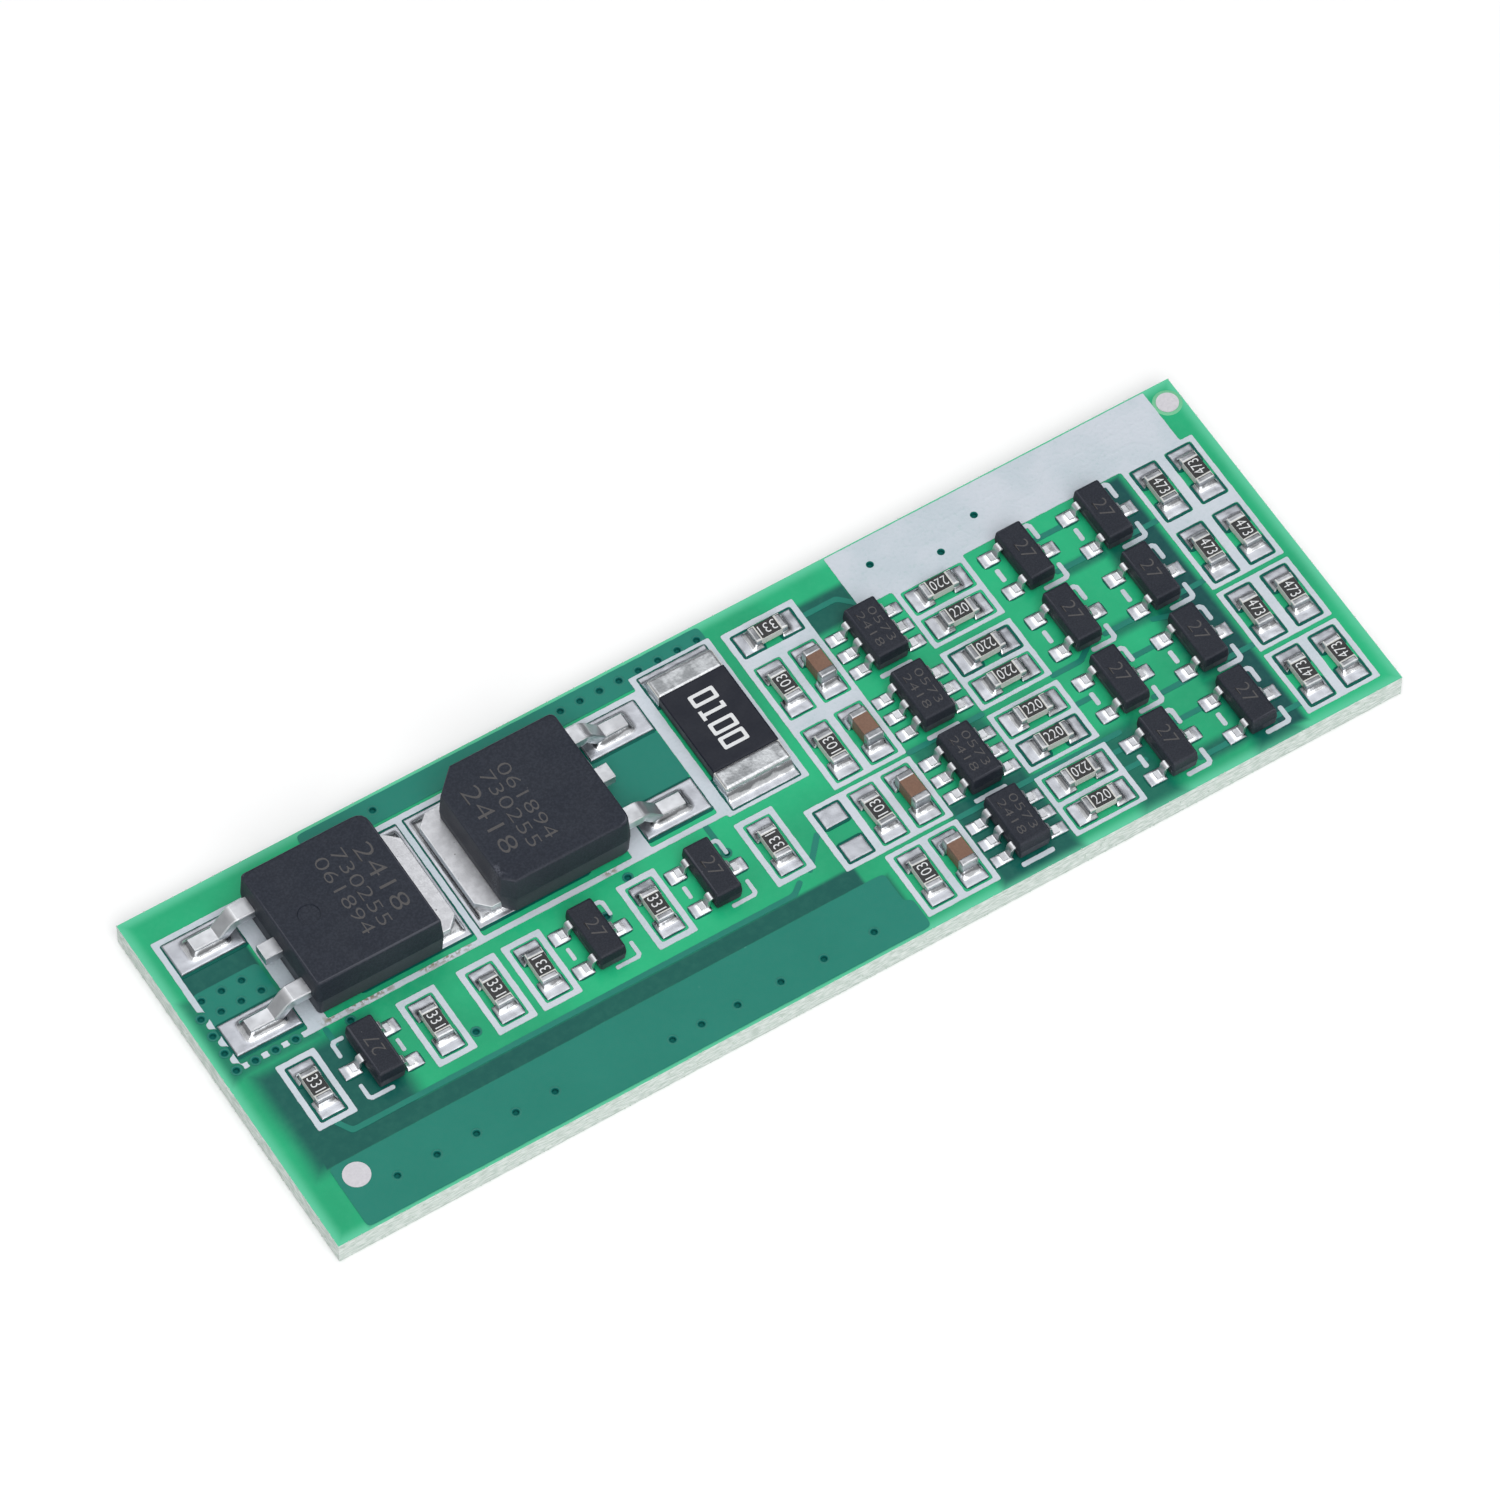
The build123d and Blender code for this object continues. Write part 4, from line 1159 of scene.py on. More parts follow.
# Copper under the mask of the upper face, each outline given by its corners. An edge says how far
# apart its points are, how often they are rubbed round and how far it wanders
copperPlan = {
    "height": 0.022, "sunk": 0.01,
    "collar": 0.12, "smallCollar": 0.045, "smallPad": 1.1, "collarLift": 0.006,
    "collarEdge": (0.2, 1, 0.008), "collarSeed": 3,
    "plateEdge": (0.12, 4, 0.01),
    "plates": [
        [(-24.5, -8.85), (2.65, -8.85), (2.65, -7.3), (2.3, -7.3), (2.3, -5.65), (-24.5, -5.65)],
        [(-17.5, 7.6), (2.2, 7.6), (2.2, 8.85), (-17.5, 8.85)],
        [(-25.1, 0.72), (-21.95, 0.72), (-21.95, 4.4), (-25.1, 4.4)],
        [(-5.3, 2.6), (-2.0, 2.6), (-2.0, 5.4), (-5.3, 5.4)],
    ],
    "trace": 0.26, "traceEdge": (0.08, 3, 0.008), "traceSeed": 40,
    "traceDrop": 0.004, "crossDrop": 0.0002,    # under the plates, and between tracks that cross
    "traces": [
        [(-23.1, -3.9), (-22.7, -4.6), (-1.4, -4.6), (-0.9, -4.2)],
        [(6.3, 6.95), (7.9, 6.95), (8.6, 6.25)],
        [(-21.2, 0.1), (-21.2, -0.7)],
        [(-2.75, 0.2), (-2.75, -1.3)],
        [(6.4, -1.2), (10.0, -1.2)], [(6.4, -5.0), (14.4, -5.0)],
        [(13.6, -1.15), (15.0, -1.15), (15.6, -0.7)], [(13.6, -5.75), (14.6, -5.75)],
        [(13.6, -6.7), (14.6, -6.7)], [(13.6, -2.9), (14.4, -2.9)],
        [(16.6, 3.15), (18.4, 3.15)], [(16.6, 5.0), (18.3, 5.0)], [(16.6, -0.55), (18.4, -0.55)],
        [(16.6, -2.15), (18.3, -2.15)], [(16.6, -4.3), (18.4, -4.3)], [(16.6, -5.8), (18.3, -5.8)],
        [(16.6, -7.85), (18.4, -7.85)], [(20.3, 3.1), (21.6, 3.1)], [(20.3, -0.5), (21.6, -0.5)],
        [(20.3, -4.3), (21.6, -4.3)], [(20.3, -7.8), (21.6, -7.8)],
        [(18.7, -1.0), (19.6, -1.3), (20.4, -1.3)], [(-0.2, -3.9), (0.95, -2.6)],
    ],
}


def traceOutline(points, width):
    # Both sides of a track of constant width
    half = width / 2
    sides = ([], [])
    for i, point in enumerate(points):
        point = Vector(point)
        before = (point - Vector(points[i - 1])).normalized() if i else None
        after = (Vector(points[i + 1]) - point).normalized() if i + 1 < len(points) else None
        along = ((before or after) + (after or before)).normalized()
        normal = Vector((-along.y, along.x))
        reach = half / max(0.5, along.dot(before or after))
        end = Vector((0, 0)) if before and after else along * half * (-1 if after else 1)
        sides[0].append(point - normal * reach + end)
        sides[1].append(point + normal * reach + end)
    return sides[0] + sides[1][::-1]


def isInside(point, outline):
    # Is the point in the outline, and further from its corners than a via's rim?
    inside = False
    for i, here in enumerate(outline):
        before = outline[i - 1]
        if (here - point).length < viaPlan["rim"]:
            return False
        if (here.y > point.y) != (before.y > point.y):
            crossing = (before.x - here.x) * (point.y - here.y) / (before.y - here.y) + here.x
            inside = inside != (point.x < crossing)
    return inside


def maskedCopper():
    plan = copperPlan
    shape = newShape()
    low, high = boardTop - plan["sunk"], boardTop + plan["height"]
    holes = viaMiddles()
    for index, corners in enumerate(plan["plates"]):
        outline = softenLoop([Vector(corner) for corner in corners], *plan["plateEdge"], index)
        openings = [circle(viaPlan["crown"], viaPlan["sides"], middle, clockwise=True)
                    for middle in holes if isInside(middle, outline)]
        addSheet(shape, [outline, *openings], low, high)
    for index, points in enumerate(plan["traces"]):
        seed = index + plan["traceSeed"]
        outline = softenLoop(traceOutline(points, plan["trace"]), *plan["traceEdge"], seed)
        addSheet(shape, [outline], low, high - plan["traceDrop"] - plan["crossDrop"] * (index % 3))
    shapePiece("maskedCopper", shape, [finish["copper"]])
    # Collars: a dark ring round each pad, copper under the mask darkened as painted shade
    collars = newShape()
    for padLow, padHigh in islands("solder_pads"):
        small = max(padHigh.x - padLow.x, padHigh.y - padLow.y) < plan["smallPad"]
        corners = boxCorners(padLow, padHigh, plan["smallCollar" if small else "collar"])
        outline = softenLoop(corners, *plan["collarEdge"], plan["collarSeed"])
        addSheet(collars, [outline], low, high + plan["collarLift"])
    shapePiece("padCollars", collars, [finish["collar"]])


# White print, from the outline of the CAD node
legendPlan = {
    "top": 0.035, "sunk": 0.005, "edge": (0.09, 1, 0.012), "seed": 1,
    "viaLoop": 1.3, "viaHole": 0.178,    # loops up to this length are vias, opened to this radius
    "thinner": 0.018,
    "thinRight": 5.0, "thinnerRight": 0.035, "shortLine": 5.0,    # right of this X only long lines
    "ridge": 0.012, "ridgeWidth": 0.2, "ridgeSlope": 0.3, "ridgeEdge": (0.1, 3, 0.01), "ridgeSeed": 5,
    "ridges": [[(16.8, 7.05), (18.2, 7.05), (18.9, 7.75), (24.2, 7.75)],
               [(19.2, 6.55), (20.2, 7.0), (22.8, 7.0), (23.5, 6.4)],
               [(13.6, 7.9), (17.3, 7.9)]],
}


def legendPiece():
    plan = legendPlan
    shape = newShape()
    loops = []
    for loop in outlineLoops("legend_print"):
        around = sum((point - loop[i - 1]).length for i, point in enumerate(loop))
        middle = sum(loop, Vector((0, 0))) / len(loop)
        if around < plan["viaLoop"]:
            loops.append(circle(plan["viaHole"], viaPlan["sides"], middle, clockwise=True))
            continue
        thinner = plan["thinner"]
        if middle.x > plan["thinRight"]:
            thinner = plan["thinnerRight"] if around > plan["shortLine"] else 0.0
        loops.append(insetOutline(softenLoop(loop, *plan["edge"], plan["seed"]), thinner))
    top = boardTop + plan["top"]
    addSheet(shape, loops, boardTop - plan["sunk"], top)
    # Copper tracks under the print, seen as low ridges
    for points in plan["ridges"]:
        outline = softenLoop(traceOutline(points, plan["ridgeWidth"]), *plan["ridgeEdge"], plan["ridgeSeed"])
        inner = insetOutline(outline, plan["ridgeWidth"] * plan["ridgeSlope"])
        addLoft(shape, [atHeight(outline, top - plan["sunk"]), atHeight(inner, top + plan["ridge"])])
    shapePiece("legendPrint", shape, [finish["legend"]],
               replaces=["legend_print"], angle=30)


# Solder on every pad of the upper face. A patch is a closed skin over its pad, drawn up against the
# part's end; +X points away from the part. block: half the width of the part's end
solderPlan = {
    "chip": {"climb": 0.17, "run": 0.24, "side": 0.12, "block": 0.4, "film": 0.03, "crown": 0.018,
             "loose": 0.75, "wet": 1.0, "grid": (16, 14)},
    "capacitor": {"climb": 0.30, "run": 0.28, "side": 0.12, "block": 0.4, "film": 0.03, "crown": 0.018,
                  "loose": 0.75, "wet": 1.0, "grid": (16, 14)},
    "transistor": {"climb": 0.04, "run": 0.24, "side": 0.16, "block": 0.2, "film": 0.03, "crown": 0.006,
                   "loose": 0.55, "wet": 0.3, "grid": (13, 12)},
    "circuit": {"climb": 0.04, "run": 0.20, "side": 0.12, "block": 0.2, "film": 0.03, "crown": 0.006,
                "loose": 0.5, "wet": 0.3, "grid": (12, 11)},
    "lead": {"climb": 0.30, "run": 0.32, "side": 0.28, "block": 0.34, "film": 0.09, "crown": 0.0,
             "loose": 0.25, "wet": 1.0, "grid": (34, 24)},
    "tab": {"climb": 0.16, "run": 0.12, "side": 0.3, "block": 2.65, "film": 0.02, "crown": 0.0,
            "loose": 0.2, "wet": 1.0, "grid": (46, 60)},
    "shunt": {"climb": 0.36, "run": 0.34, "side": 0.06, "block": 1.6, "film": 0.03, "crown": 0.02,
              "loose": 0.6, "wet": 1.0, "grid": (26, 44)},
    "spare": {"climb": 0.0, "run": 0.3, "side": 0.3, "film": 0.03, "crown": 0.012,
              "loose": 0.7, "wet": 0.15, "grid": (12, 14)},
}
kindOrder = list(solderPlan)
solderSkin = {
    "edge": 0.06, "hollow": 1.45, "sunk": 0.01,    # rounded border, hollow of the fillets, depth in the board
    "leadFoot": 1.45, "tabHalf": 2.0,    # length of a lead's foot; from this half width a pad holds a tab
    "copies": {"Height low": 0.86, "Height high": 1.14, "Crinkle": 0.08 * mm, "Crinkle scale": perMm(0.4),
               "Turn jitter": math.radians(0.6), "Seed": 11},
}


def solderPatch(halfLength, halfWidth, block, plan):
    # block: the part's own footprint on the pad as (start, end, half width) along +X
    shape = newShape()
    countX, countY = plan["grid"]
    padHeight = padTop - boardTop

    def surface(u, v):
        edge = min(halfLength - abs(u), halfWidth - abs(v)) / solderSkin["edge"]
        edge = max(0.0, min(1.0, edge))
        rim = math.sqrt(1 - (1 - edge) ** 2)
        crown = plan["crown"] * (1 - (v / halfWidth) ** 2) * (1 - (u / halfLength) ** 2)
        climb, wetness = 0.0, 0.0
        if block:
            start, end, half = block
            outX, outY = max(start - u, u - end, 0.0), max(abs(v) - half, 0.0)
            away = math.hypot(outX / plan["run"], outY / plan["side"])
            near = max(0.0, 1 - away)
            climb, wetness = plan["climb"] * near ** solderSkin["hollow"], plan["wet"] * near
        return padHeight + rim * (plan["film"] + crown + climb), wetness

    def spread(half, count):
        # Points across the pad, closer together at its borders
        return [half * math.sin(math.pi / 2 * (2 * i / count - 1)) for i in range(count + 1)]

    top, wetness = [], []
    for u in spread(halfLength, countX):
        for v in spread(halfWidth, countY):
            z, wet = surface(u, v)
            top.append((u, v, z))
            wetness.append(wet)
    faces = []
    wide = countY + 1
    for i in range(countX):
        for j in range(countY):
            corner = i * wide + j
            faces.append((corner, corner + wide, corner + wide + 1, corner + 1))
    border = list(range(wide)) + [i * wide + countY for i in range(1, countX + 1)]
    border += [countX * wide + j for j in range(countY - 1, -1, -1)]
    border += [i * wide for i in range(countX - 1, 0, -1)]
    count = len(top)
    foot = [(top[index][0], top[index][1], -solderSkin["sunk"]) for index in border]
    for k in range(len(border)):
        after = (k + 1) % len(border)
        faces.append((border[k], border[after], count + after, count + k))
    faces.append(tuple(range(count, count + len(foot))))
    addFaces(shape, top + foot, faces)
    shape["wetness"] = wetness + [0.0] * len(foot)
    shape["loose"] = [plan["loose"]] * len(shape["points"])
    return shape


def solderPiece():
    pads = islands("solder_pads")
    kinds = {"chip": resistorNames, "capacitor": capacitorNames, "transistor": transistorNames,
             "circuit": circuitNames, "lead": [leads for body, leads in powerNames.values()],
             "shunt": ["shunt_resistor_terminals"]}
    masters, places, used = {}, [], set()
    for kind, name in ((kind, name) for kind, names in kinds.items() for name in names):
        low, high = nodeBox(name)
        middle = (low + high) / 2
        for index, (padLow, padHigh) in enumerate(pads):
            apart = padHigh.x < low.x or padLow.x > high.x or padHigh.y < low.y or padLow.y > high.y
            if index in used or apart:
                continue
            used.add(index)
            padMiddle, half = (padLow + padHigh) / 2, (padHigh - padLow) / 2
            away = padMiddle - middle
            upright = kind in ("chip", "capacitor", "shunt") and abs(away.y) > abs(away.x)
            along = 1 if upright else 0
            turn = (90 if upright else 0) + (0 if away[along] > 0 else 180)
            here = "tab" if kind == "lead" and half.y > solderSkin["tabHalf"] else kind
            if here not in masters:
                length, width = half[along], half[1 - along]
                end = (high - low)[along] / 2 - abs(away[along])
                start = end - solderSkin["leadFoot"] if here == "lead" else -length
                plan = solderPlan[here]
                masters[here] = solderPatch(length, width, (start, end, plan["block"]), plan)
            places.append((padMiddle.x, padMiddle.y, boardTop, kindOrder.index(here), turn))
    for index, (padLow, padHigh) in enumerate(pads):
        if index not in used:
            padMiddle, half = (padLow + padHigh) / 2, (padHigh - padLow) / 2
            if "spare" not in masters:
                masters["spare"] = solderPatch(half.x, half.y, None, solderPlan["spare"])
            places.append((padMiddle.x, padMiddle.y, boardTop, kindOrder.index("spare"), 0))
    growCopies("solder", [masters[kind] for kind in kindOrder], places, [finish["solder"]],
               solderSkin["copies"], replaces=["solder_pads", "solder_joints"], angle=60)


# Chip resistors and capacitors
resistorPlan = {
    "half": 0.8, "halfWidth": 0.4, "height": 0.45, "terminal": 0.32, "edge": 0.08,
    "blockShorter": 0.03, "blockLower": 0.012, "blockEdge": 0.02,
    "filmHalf": 0.47, "filmHalfWidth": 0.375, "filmTop": 0.462, "filmHalfThick": 0.03, "filmEdge": 0.018,
    "copies": {"Turn jitter": math.radians(1.6), "Seed": 5},
}
capacitorPlan = {
    "half": 0.8, "halfWidth": 0.4, "height": 0.8, "terminal": 0.37, "edge": 0.08,
    "blockHalf": 0.56, "blockLower": 0.02, "blockEdge": 0.03,
    "copies": {"Turn jitter": math.radians(2.0), "Seed": 9},
}


def addEnds(shape, plan, number, steps):
    # The two plated ends of a chip
    reach, tall = plan["terminal"] / 2, plan["height"] / 2
    for side in (-1, 1):
        addRoundedBox(shape, (side * (plan["half"] - reach), 0, tall), (reach, plan["halfWidth"], tall),
                      plan["edge"], number, steps)


def resistorShape():
    plan = resistorPlan
    shape = newShape()
    tall, lower = plan["height"] / 2, plan["blockLower"]
    block = (plan["half"] - plan["blockShorter"], plan["halfWidth"] - lower, tall - lower)
    addRoundedBox(shape, (0, 0, tall), block, plan["blockEdge"], 0, 1)
    addEnds(shape, plan, 2, 2)
    thick = plan["filmHalfThick"]
    addRoundedBox(shape, (0, 0, plan["filmTop"] - thick), (plan["filmHalf"], plan["filmHalfWidth"], thick),
                  plan["filmEdge"], 1, 2)
    return shape


def capacitorShape():
    plan = capacitorPlan
    shape = newShape()
    tall, lower = plan["height"] / 2, plan["blockLower"]
    addRoundedBox(shape, (0, 0, tall), (plan["blockHalf"], plan["halfWidth"] - lower, tall - lower),
                  plan["blockEdge"], 0, 2)
    addEnds(shape, plan, 1, 3)
    return shape


def chipPieces():
    growCopies("chipResistors", [resistorShape()], partPlaces(resistorNames),
               [finish["ceramic"], finish["film"], finish["terminal"]], resistorPlan["copies"],
               replaces=resistorNames)
    growCopies("filterCapacitors", [capacitorShape()], partPlaces(capacitorNames),
               [finish["brown"], finish["terminal"]], capacitorPlan["copies"],
               replaces=capacitorNames)


# Moulded bodies: draft from the parting line both ways, and a rubbed upper edge
mouldPlan = {"seam": 0.015, "edgeSteps": 3, "cornerSteps": 4, "holeSides": 24, "holeTaper": 0.93}


def addMoulding(shape, corners, bottom, parting, top, draft, edge, hole=None):
    # hole: a shallow round mark of the mould's ejector in the upper face
    plan = mouldPlan
    lean = math.tan(math.radians(draft))
    foot = (parting - bottom) * lean
    levels = [(bottom, foot + edge * 0.5), (bottom + edge * 0.5, foot),
              (parting - plan["seam"], 0.0), (parting + plan["seam"], 0.0)]
    for k in range(plan["edgeSteps"] + 1):
        angle = math.pi / 2 * k / plan["edgeSteps"]
        z = top - edge * (1 - math.sin(angle))
        levels.append((z, (z - parting) * lean + edge * (1 - math.cos(angle))))
    rings = withSupport([atHeight(roundedCorners(insetCorners(corners, inset), plan["cornerSteps"]), z)
                         for z, inset in levels])
    addLoft(shape, rings, closeEnd=hole is None)
    if hole is None:
        return
    sides, middle = plan["holeSides"], Vector((hole["x"], 0))
    cap = [Vector(point[:2]) for point in rings[-1]]
    rim = circle(hole["radius"], sides, middle, clockwise=True)
    floor = [middle + (point - middle) * plan["holeTaper"] for point in rim]
    faces = fillLoops([cap, rim])
    count = len(cap)
    for k in range(sides):
        after = (k + 1) % sides
        faces.append((count + after, count + k, count + sides + k, count + sides + after))
    faces.append(tuple(range(count + 2 * sides - 1, count + sides - 1, -1)))
    addFaces(shape, atHeight(cap + rim, top) + atHeight(floor, top - hole["depth"]), faces)


# Small moulded parts
smallPlan = {
    "transistor": {"length": 2.9, "width": 1.3, "span": 2.4, "height": 1.05,
                   "leads": [(-1, -0.95), (-1, 0.95), (1, 0.0)]},
    "circuit": {"length": 2.9, "width": 1.6, "span": 2.8, "height": 1.15,
                "leads": [(side, step * 0.95) for side in (-1, 1) for step in (-1, 0, 1)]},
    "standoff": 0.07, "draft": 6, "corner": 0.16, "edge": 0.10,
    "leadWidth": 0.4, "leadThickness": 0.14, "leadEdge": 0.02, "inside": 0.12,
    "shoulder": 0.14, "slope": 0.08, "bend": 0.12,
    "copies": {"Turn jitter": math.radians(0.7), "Seed": 21},
}


def smallShape(kind):
    plan, part = smallPlan, smallPlan[kind]
    shape = newShape()
    parting = (plan["standoff"] + part["height"]) / 2
    face, halfY = part["width"] / 2, part["length"] / 2
    corners = [(x, y, plan["corner"], True) for x, y in
               ((face, -halfY), (face, halfY), (-face, halfY), (-face, -halfY))]
    addMoulding(shape, corners, plan["standoff"], parting, part["height"], plan["draft"], plan["edge"])
    knee = face + plan["shoulder"]
    thick = plan["leadThickness"]
    path = bentPath([(face - plan["inside"], parting), (knee, parting),
                     (knee + plan["slope"], thick / 2), (part["span"] / 2, thick / 2)], plan["bend"])
    for side, along in part["leads"]:
        addStrip(shape, path, (plan["leadWidth"], plan["leadWidth"]), thick, plan["leadEdge"],
                 Matrix.Translation((0, along, 0)) @ turned(0 if side > 0 else 180), 1)
    return shape


def smallPieces():
    for piece, kind, names in (("smallTransistors", "transistor", transistorNames),
                               ("protectionCircuits", "circuit", circuitNames)):
        growCopies(piece, [smallShape(kind)], partPlaces(names), [finish["small"], finish["lead"]],
                   smallPlan["copies"], replaces=names)


# Power transistors: local +X points to the tab. Corners run from the tab's front one anticlockwise:
# their size, and whether they are round
powerPlan = {
    "halfX": 3.05, "halfY": 3.25, "height": 2.3, "parting": 1.05, "draft": 4, "edge": 0.10,
    "left": {"turn": 0, "longer": 0.0, "corners": [(0.2, True), (0.7, True), (0.3, True), (0.3, True)],
             "hole": {"x": -1.5, "radius": 0.5, "depth": 0.06}},
    "right": {"turn": 180, "longer": 0.15, "corners": [(1.1, False), (0.5, False), (0.6, True), (0.4, True)],
              "hole": None},
    "leadLength": 2.85, "leadWidth": 0.8, "footWidth": 0.66, "leadThickness": 0.5, "leadPitch": 4.57,
    "inside": 0.6, "rootWider": 0.06, "leadEdge": 0.05, "shoulder": 0.85, "slope": 0.75,
    "bend": 0.16, "bendSteps": 5, "stub": 0.8, "stubEdge": 0.03,
    "tabWidth": 5.45, "tabLength": 5.0, "tabReach": 1.1, "tabCorner": 0.55, "innerCorner": 0.1,
    "tabUnder": [(0.0, 0.03), (0.04, 0.0)],    # height over its lower face, and inset
    "tabOver": [(0.05, 0.0), (0.015, 0.015), (0.0, 0.05)],    # depth under its upper face, and inset
}


def powerLeadShape(matrix):
    plan = powerPlan
    shape = newShape()
    thick, face, level = plan["leadThickness"], plan["halfX"], plan["parting"]
    knee = face + plan["shoulder"]
    start = (face - plan["inside"], level)
    path = bentPath([start, (knee, level), (knee + plan["slope"], thick / 2),
                     (face + plan["leadLength"], thick / 2)], plan["bend"], plan["bendSteps"])
    widths = (plan["leadWidth"] + plan["rootWider"], plan["footWidth"])
    for side in (-1, 1):
        addStrip(shape, path, widths, thick, plan["leadEdge"],
                 matrix @ Matrix.Translation((0, side * plan["leadPitch"] / 2, 0)) @ turned(180))
    stub = [Vector(start), Vector((face + plan["stub"], level))]
    addStrip(shape, stub, (plan["leadWidth"], plan["leadWidth"]), thick, plan["stubEdge"],
             matrix @ turned(180))
    end, halfTab = face + plan["tabReach"], plan["tabWidth"] / 2
    outer, inner = (plan["tabCorner"], False), (plan["innerCorner"], True)
    outline = roundedCorners([(end, -halfTab, *outer), (end, halfTab, *outer),
                              (end - plan["tabLength"], halfTab, *inner),
                              (end - plan["tabLength"], -halfTab, *inner)])
    levels = plan["tabUnder"] + [(thick - depth, inset) for depth, inset in plan["tabOver"]]
    addLoft(shape, [[matrix @ Vector(point) for point in atHeight(insetOutline(outline, inset), z)]
                    for z, inset in levels], 1)
    return shape


def powerBodyShape(side):
    plan, own = powerPlan, powerPlan[side]
    tabX, halfX, halfY = plan["halfX"] + own["longer"], plan["halfX"], plan["halfY"]
    spots = ((tabX, -halfY), (tabX, halfY), (-halfX, halfY), (-halfX, -halfY))
    corners = [(*spot, *corner) for spot, corner in zip(spots, own["corners"])]
    shape = newShape()
    addMoulding(shape, corners, 0.0, plan["parting"], plan["height"], plan["draft"], plan["edge"],
                own["hole"])
    return shape


def powerPieces():
    for side, (body, leads) in powerNames.items():
        low, high = nodeBox(body)
        matrix = turned(powerPlan[side]["turn"], (low.x + high.x) / 2, (low.y + high.y) / 2, low.z)
        shapePiece(f"powerBody_{side}", movedShape(powerBodyShape(side), matrix), [finish["power"]],
                   replaces=[body], angle=32)
        shapePiece(f"powerLeads_{side}", powerLeadShape(matrix), [finish["lead"], finish["tab"]],
                   replaces=[leads], angle=35)


# Current shunt: a ceramic core, its coat and two wrapped ends
shuntPlan = {
    "half": 3.2, "halfWidth": 1.6, "height": 0.65, "terminal": 1.05, "edge": 0.15,
    "coreShorter": 0.06, "coreNarrower": 0.01, "coreLower": 0.05, "coreEdge": 0.03,
    "coatLonger": 0.04, "coatWider": 0.005, "coatLift": 0.05, "coatEdge": 0.07,
}


def shuntPieces():
    plan = shuntPlan
    x, y, z, turn = standing("shunt_resistor_terminals")
    matrix = turned(90, x, y, z)
    tall, halfWidth = plan["height"] / 2, plan["halfWidth"]
    core = (plan["half"] - plan["coreShorter"], halfWidth - plan["coreNarrower"], tall - plan["coreLower"])
    coat = (plan["half"] - plan["terminal"] + plan["coatLonger"], halfWidth + plan["coatWider"], tall)
    body = newShape()
    addRoundedBox(body, (0, 0, tall), core, plan["coreEdge"], 0, 2)
    addRoundedBox(body, (0, 0, tall + plan["coatLift"]), coat, plan["coatEdge"], 1, 3)
    shapePiece("shuntBody", movedShape(body, matrix), [finish["ceramic"], finish["coat"]],
               replaces=["shunt_resistor_body"])
    ends = newShape()
    addEnds(ends, plan, 0, 3)
    shapePiece("shuntTerminals", movedShape(ends, matrix), [finish["wrap"]],
               replaces=["shunt_resistor_terminals"])


# Printed numbers: plain digits only. Laser marks are given as digits, place across the part, length
# and height
digitPlan = {
    "thin": 0.006, "sunk": 0.001, "seed": 17,
    "codes": {"supply": "103", "threshold": "220", "gate": "473", "bias": "331", "control": "331"},
    "codeLength": 0.80, "codeHeight": 0.50, "codeSlimmer": 0.008,
    "shunt": "0100", "shuntLength": 3.2, "shuntHeight": 1.22, "shuntStroke": 0.165, "shuntLift": 0.02,
    "markThin": 0.004, "markSlimmer": 0.014,
    "transistorMarks": [("27", 0.0, 0.95, 0.62)],
    "circuitMarks": [("2418", -0.28, 1.9, 0.36), ("0573", 0.28, 1.9, 0.36)],
    "powerMarks": [("2418", 2.0, 3.6, 0.8), ("730255", 1.0, 4.2, 0.6), ("061894", 0.2, 4.2, 0.6)],
}


def textShape(text, length, height, thickness, slimmer):
    curve = bpy.data.curves.new("digits", "FONT")
    curve.body = text
    curve.offset = -slimmer
    curve.align_x, curve.align_y = "CENTER", "CENTER"
    curve.resolution_u = 3
    holder = bpy.data.objects.new("digits", curve)
    bpy.context.scene.collection.objects.link(holder)
    depsgraph = bpy.context.evaluated_depsgraph_get()
    flat = bpy.data.meshes.new_from_object(holder.evaluated_get(depsgraph), depsgraph=depsgraph)
    work = bmesh.new()
    work.from_mesh(flat)
    bmesh.ops.remove_doubles(work, verts=work.verts, dist=1e-5)
    points = [vertex.co.copy() for vertex in work.verts]
    faces = [tuple(vertex.index for vertex in face.verts) for face in work.faces]
    work.free()
    bpy.data.objects.remove(holder)
    low = [min(p[i] for p in points) for i in (0, 1)]
    high = [max(p[i] for p in points) for i in (0, 1)]
    scaleX, scaleY = length / (high[0] - low[0]), height / (high[1] - low[1])
    shape = newShape()
    middle = ((low[0] + high[0]) / 2, (low[1] + high[1]) / 2)
    flatPoints = [((p[0] - middle[0]) * scaleX, (p[1] - middle[1]) * scaleY) for p in points]
    count = len(flatPoints)
    edges = {}
    for face in faces:
        for i in range(len(face)):
            edges[(face[i], face[(i + 1) % len(face)])] = True
    sides = [(b, a, a + count, b + count) for a, b in edges if (b, a) not in edges]
    under = [tuple(index + count for index in reversed(face)) for face in faces]
    allPoints = [(x, y, thickness) for x, y in flatPoints] + [(x, y, 0.0) for x, y in flatPoints]
    addFaces(shape, allPoints, list(faces) + under + sides)
    return shape


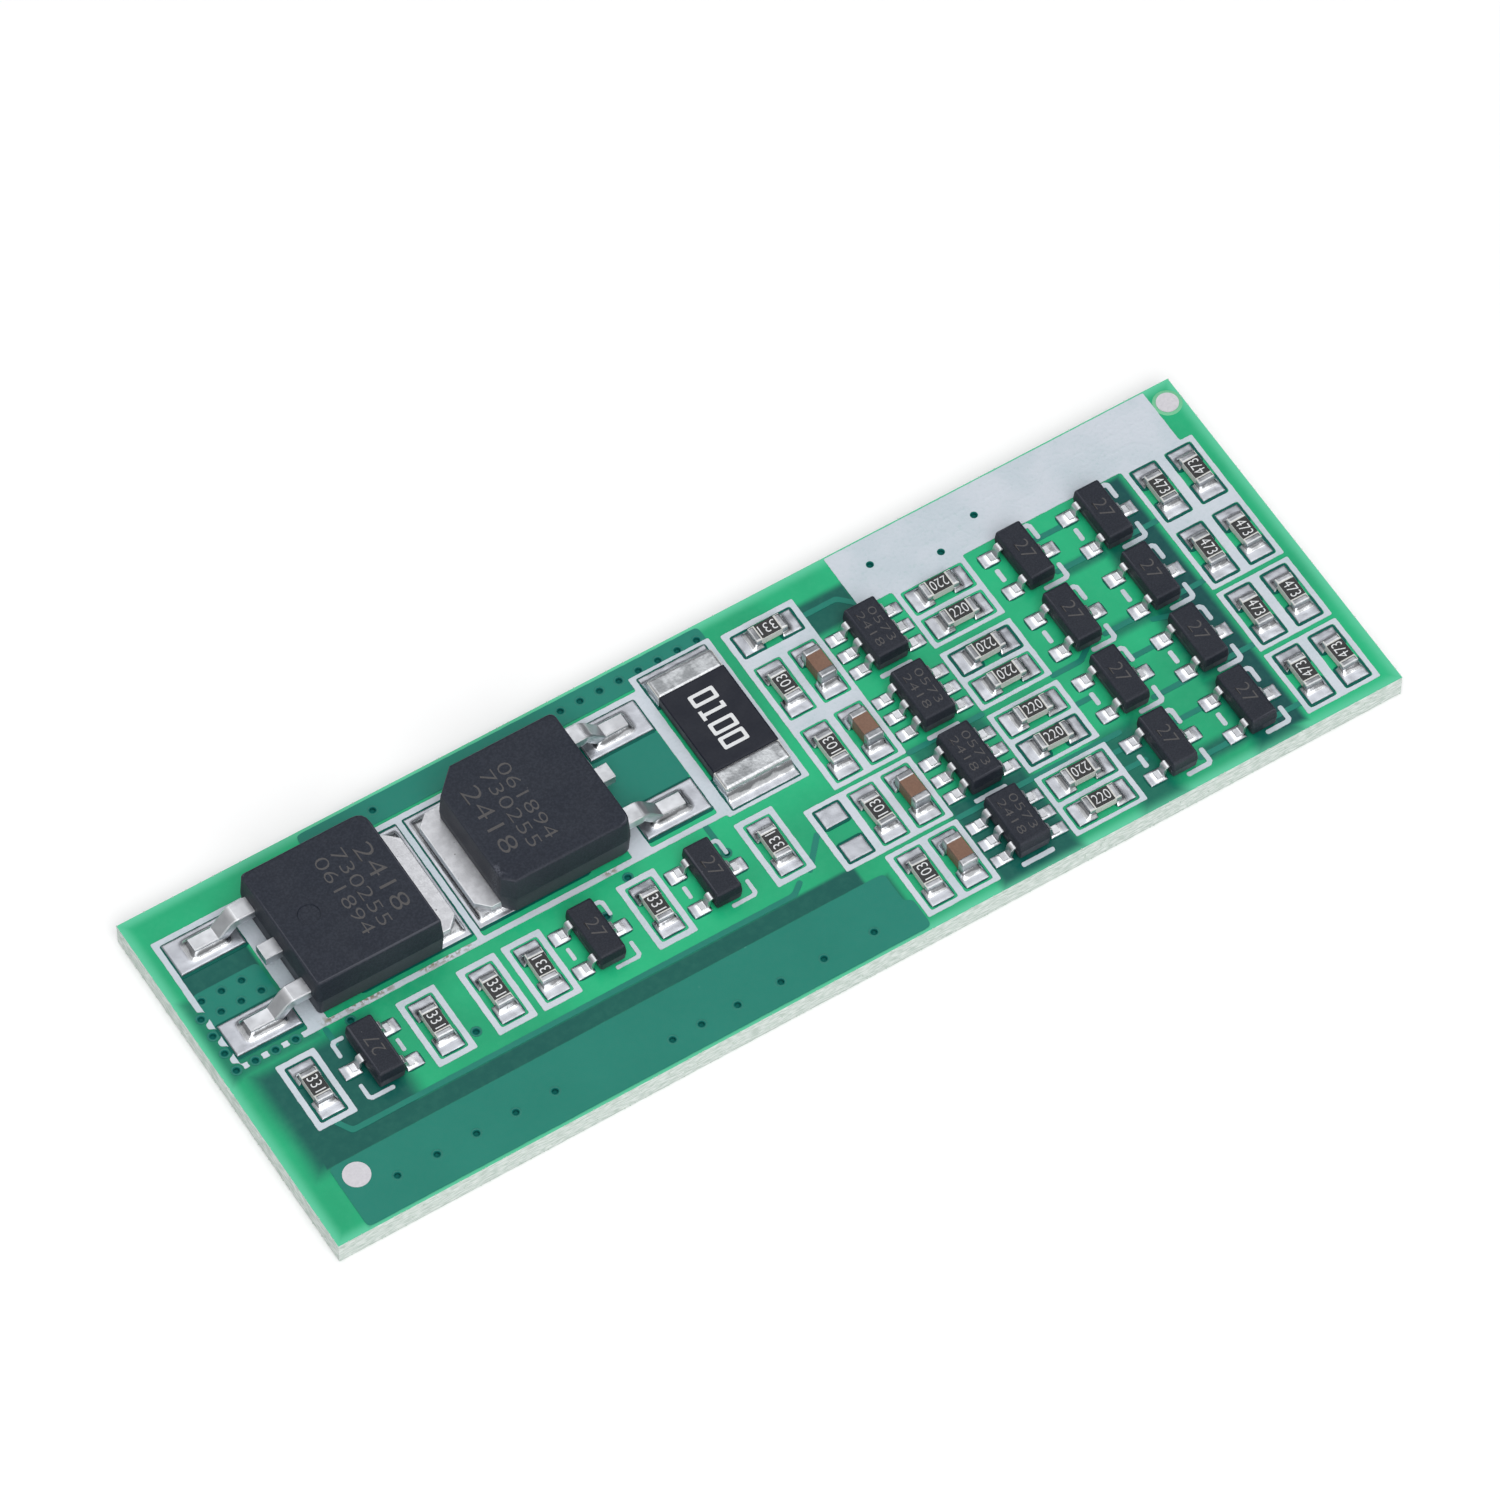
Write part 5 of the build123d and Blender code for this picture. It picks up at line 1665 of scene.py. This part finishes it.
def blockDigits(text, length, height, stroke, thickness):
    # Square-cut digits 0 and 1, as stencilled on large chips
    shape = newShape()
    step = length / len(text)
    halfX, halfY = (step - stroke * 0.9) / 2, height / 2
    arm, stem = halfX * 0.8, stroke / 2
    for index, digit in enumerate(text):
        middle = (index - (len(text) - 1) / 2) * step
        if digit == "0":
            outer = roundedRectangle(halfX, halfY, stroke * 0.5, 2)
            inner = roundedRectangle(halfX - stroke, halfY - stroke, stroke * 0.2, 1)
            loops = [outer, inner[::-1]]
        else:
            loops = [[Vector(point) for point in (
                (-arm, -halfY), (arm, -halfY), (arm, -halfY + stroke), (stem, -halfY + stroke),
                (stem, halfY), (-arm, halfY), (-arm, halfY - stroke), (-stem, halfY - stroke),
                (-stem, -halfY + stroke), (-arm, -halfY + stroke))]]
        moved = [[point + Vector((middle, 0)) for point in loop] for loop in loops]
        addSheet(shape, moved, 0.0, thickness)
    return shape


def addMarks(marks, name, lines, turn, facing=1):
    # Lines of digits on the upper face of a part
    low, high = nodeBox(name)
    x, y, z = (low.x + high.x) / 2, (low.y + high.y) / 2, high.z - digitPlan["sunk"]
    for text, shift, length, height in lines:
        shape = textShape(text, length, height, digitPlan["markThin"], digitPlan["markSlimmer"])
        addMoved(marks, shape, turned(turn, x + shift * facing, y, z))


def digitPieces():
    plan = digitPlan
    chance = random.Random(plan["seed"])
    digits = newShape()
    codes = {code: textShape(code, plan["codeLength"], plan["codeHeight"], plan["thin"], plan["codeSlimmer"])
             for code in plan["codes"].values()}
    for name in resistorNames:
        x, y, z, turn = standing(name)
        turn += 180 * chance.randrange(2)
        code = codes[plan["codes"][name.split("_")[0]]]
        addMoved(digits, code, turned(turn, x, y, z + resistorPlan["filmTop"] - plan["sunk"]))
    x, y, z, turn = standing("shunt_resistor_body")
    top = nodeBox("shunt_resistor_body")[1].z + plan["shuntLift"]
    number = blockDigits(plan["shunt"], plan["shuntLength"], plan["shuntHeight"], plan["shuntStroke"],
                         plan["thin"])
    addMoved(digits, number, turned(-90, x, y, top))
    shapePiece("printedDigits", digits, [finish["digit"]])
    marks = newShape()
    for name in transistorNames:
        addMarks(marks, name, plan["transistorMarks"], standing(name)[3] - 90)
    for name in circuitNames:
        addMarks(marks, name, plan["circuitMarks"], standing(name)[3] - 90)
    for side, (body, leads) in powerNames.items():
        addMarks(marks, body, plan["powerMarks"], -90, 1 if side == "left" else -1)
    shapePiece("laserMarks", marks, [finish["laser"]])


# Ring of bare laminate round the small fiducial: wider than the mark, and height over the board
haloPlan = {"sides": 40, "rings": [(-0.05, 0.004), (0.02, 0.012), (0.14, 0.012), (0.17, -0.01)]}


def haloPiece():
    low, high = max(islands("fiducial_marks"), key=lambda box: box[0].x)
    middle, radius = (low + high) / 2, (high.x - low.x) / 2
    shape = newShape()
    addLoft(shape, [atHeight(circle(radius + wider, haloPlan["sides"], middle.xy), boardTop + z)
                    for wider, z in haloPlan["rings"]])
    shapePiece("fiducialHalo", shape, [finish["halo"]])


def makeFloor():
    half = studio["floorHalf"]
    mesh = bpy.data.meshes.new("paleFloor")
    corners = [(-half, -half, 0), (half, -half, 0), (half, half, 0), (-half, half, 0)]
    mesh.from_pydata(corners, [], [(0, 1, 2, 3)])
    mesh.materials.append(finish["floor"])
    floor = bpy.data.objects.new("paleFloor", mesh)
    bpy.context.scene.collection.objects.link(floor)
    floor.location.z = -studio["floorDrop"]


makeCamera()
makeStudio()
makeFloor()
boardPiece()
edgeCrumbPiece()
maskedCopper()
legendPiece()
viaPiece()
print("board dressed")
solderPiece()
chipPieces()
smallPieces()
powerPieces()
shuntPieces()
digitPieces()
haloPiece()
print("parts dressed")
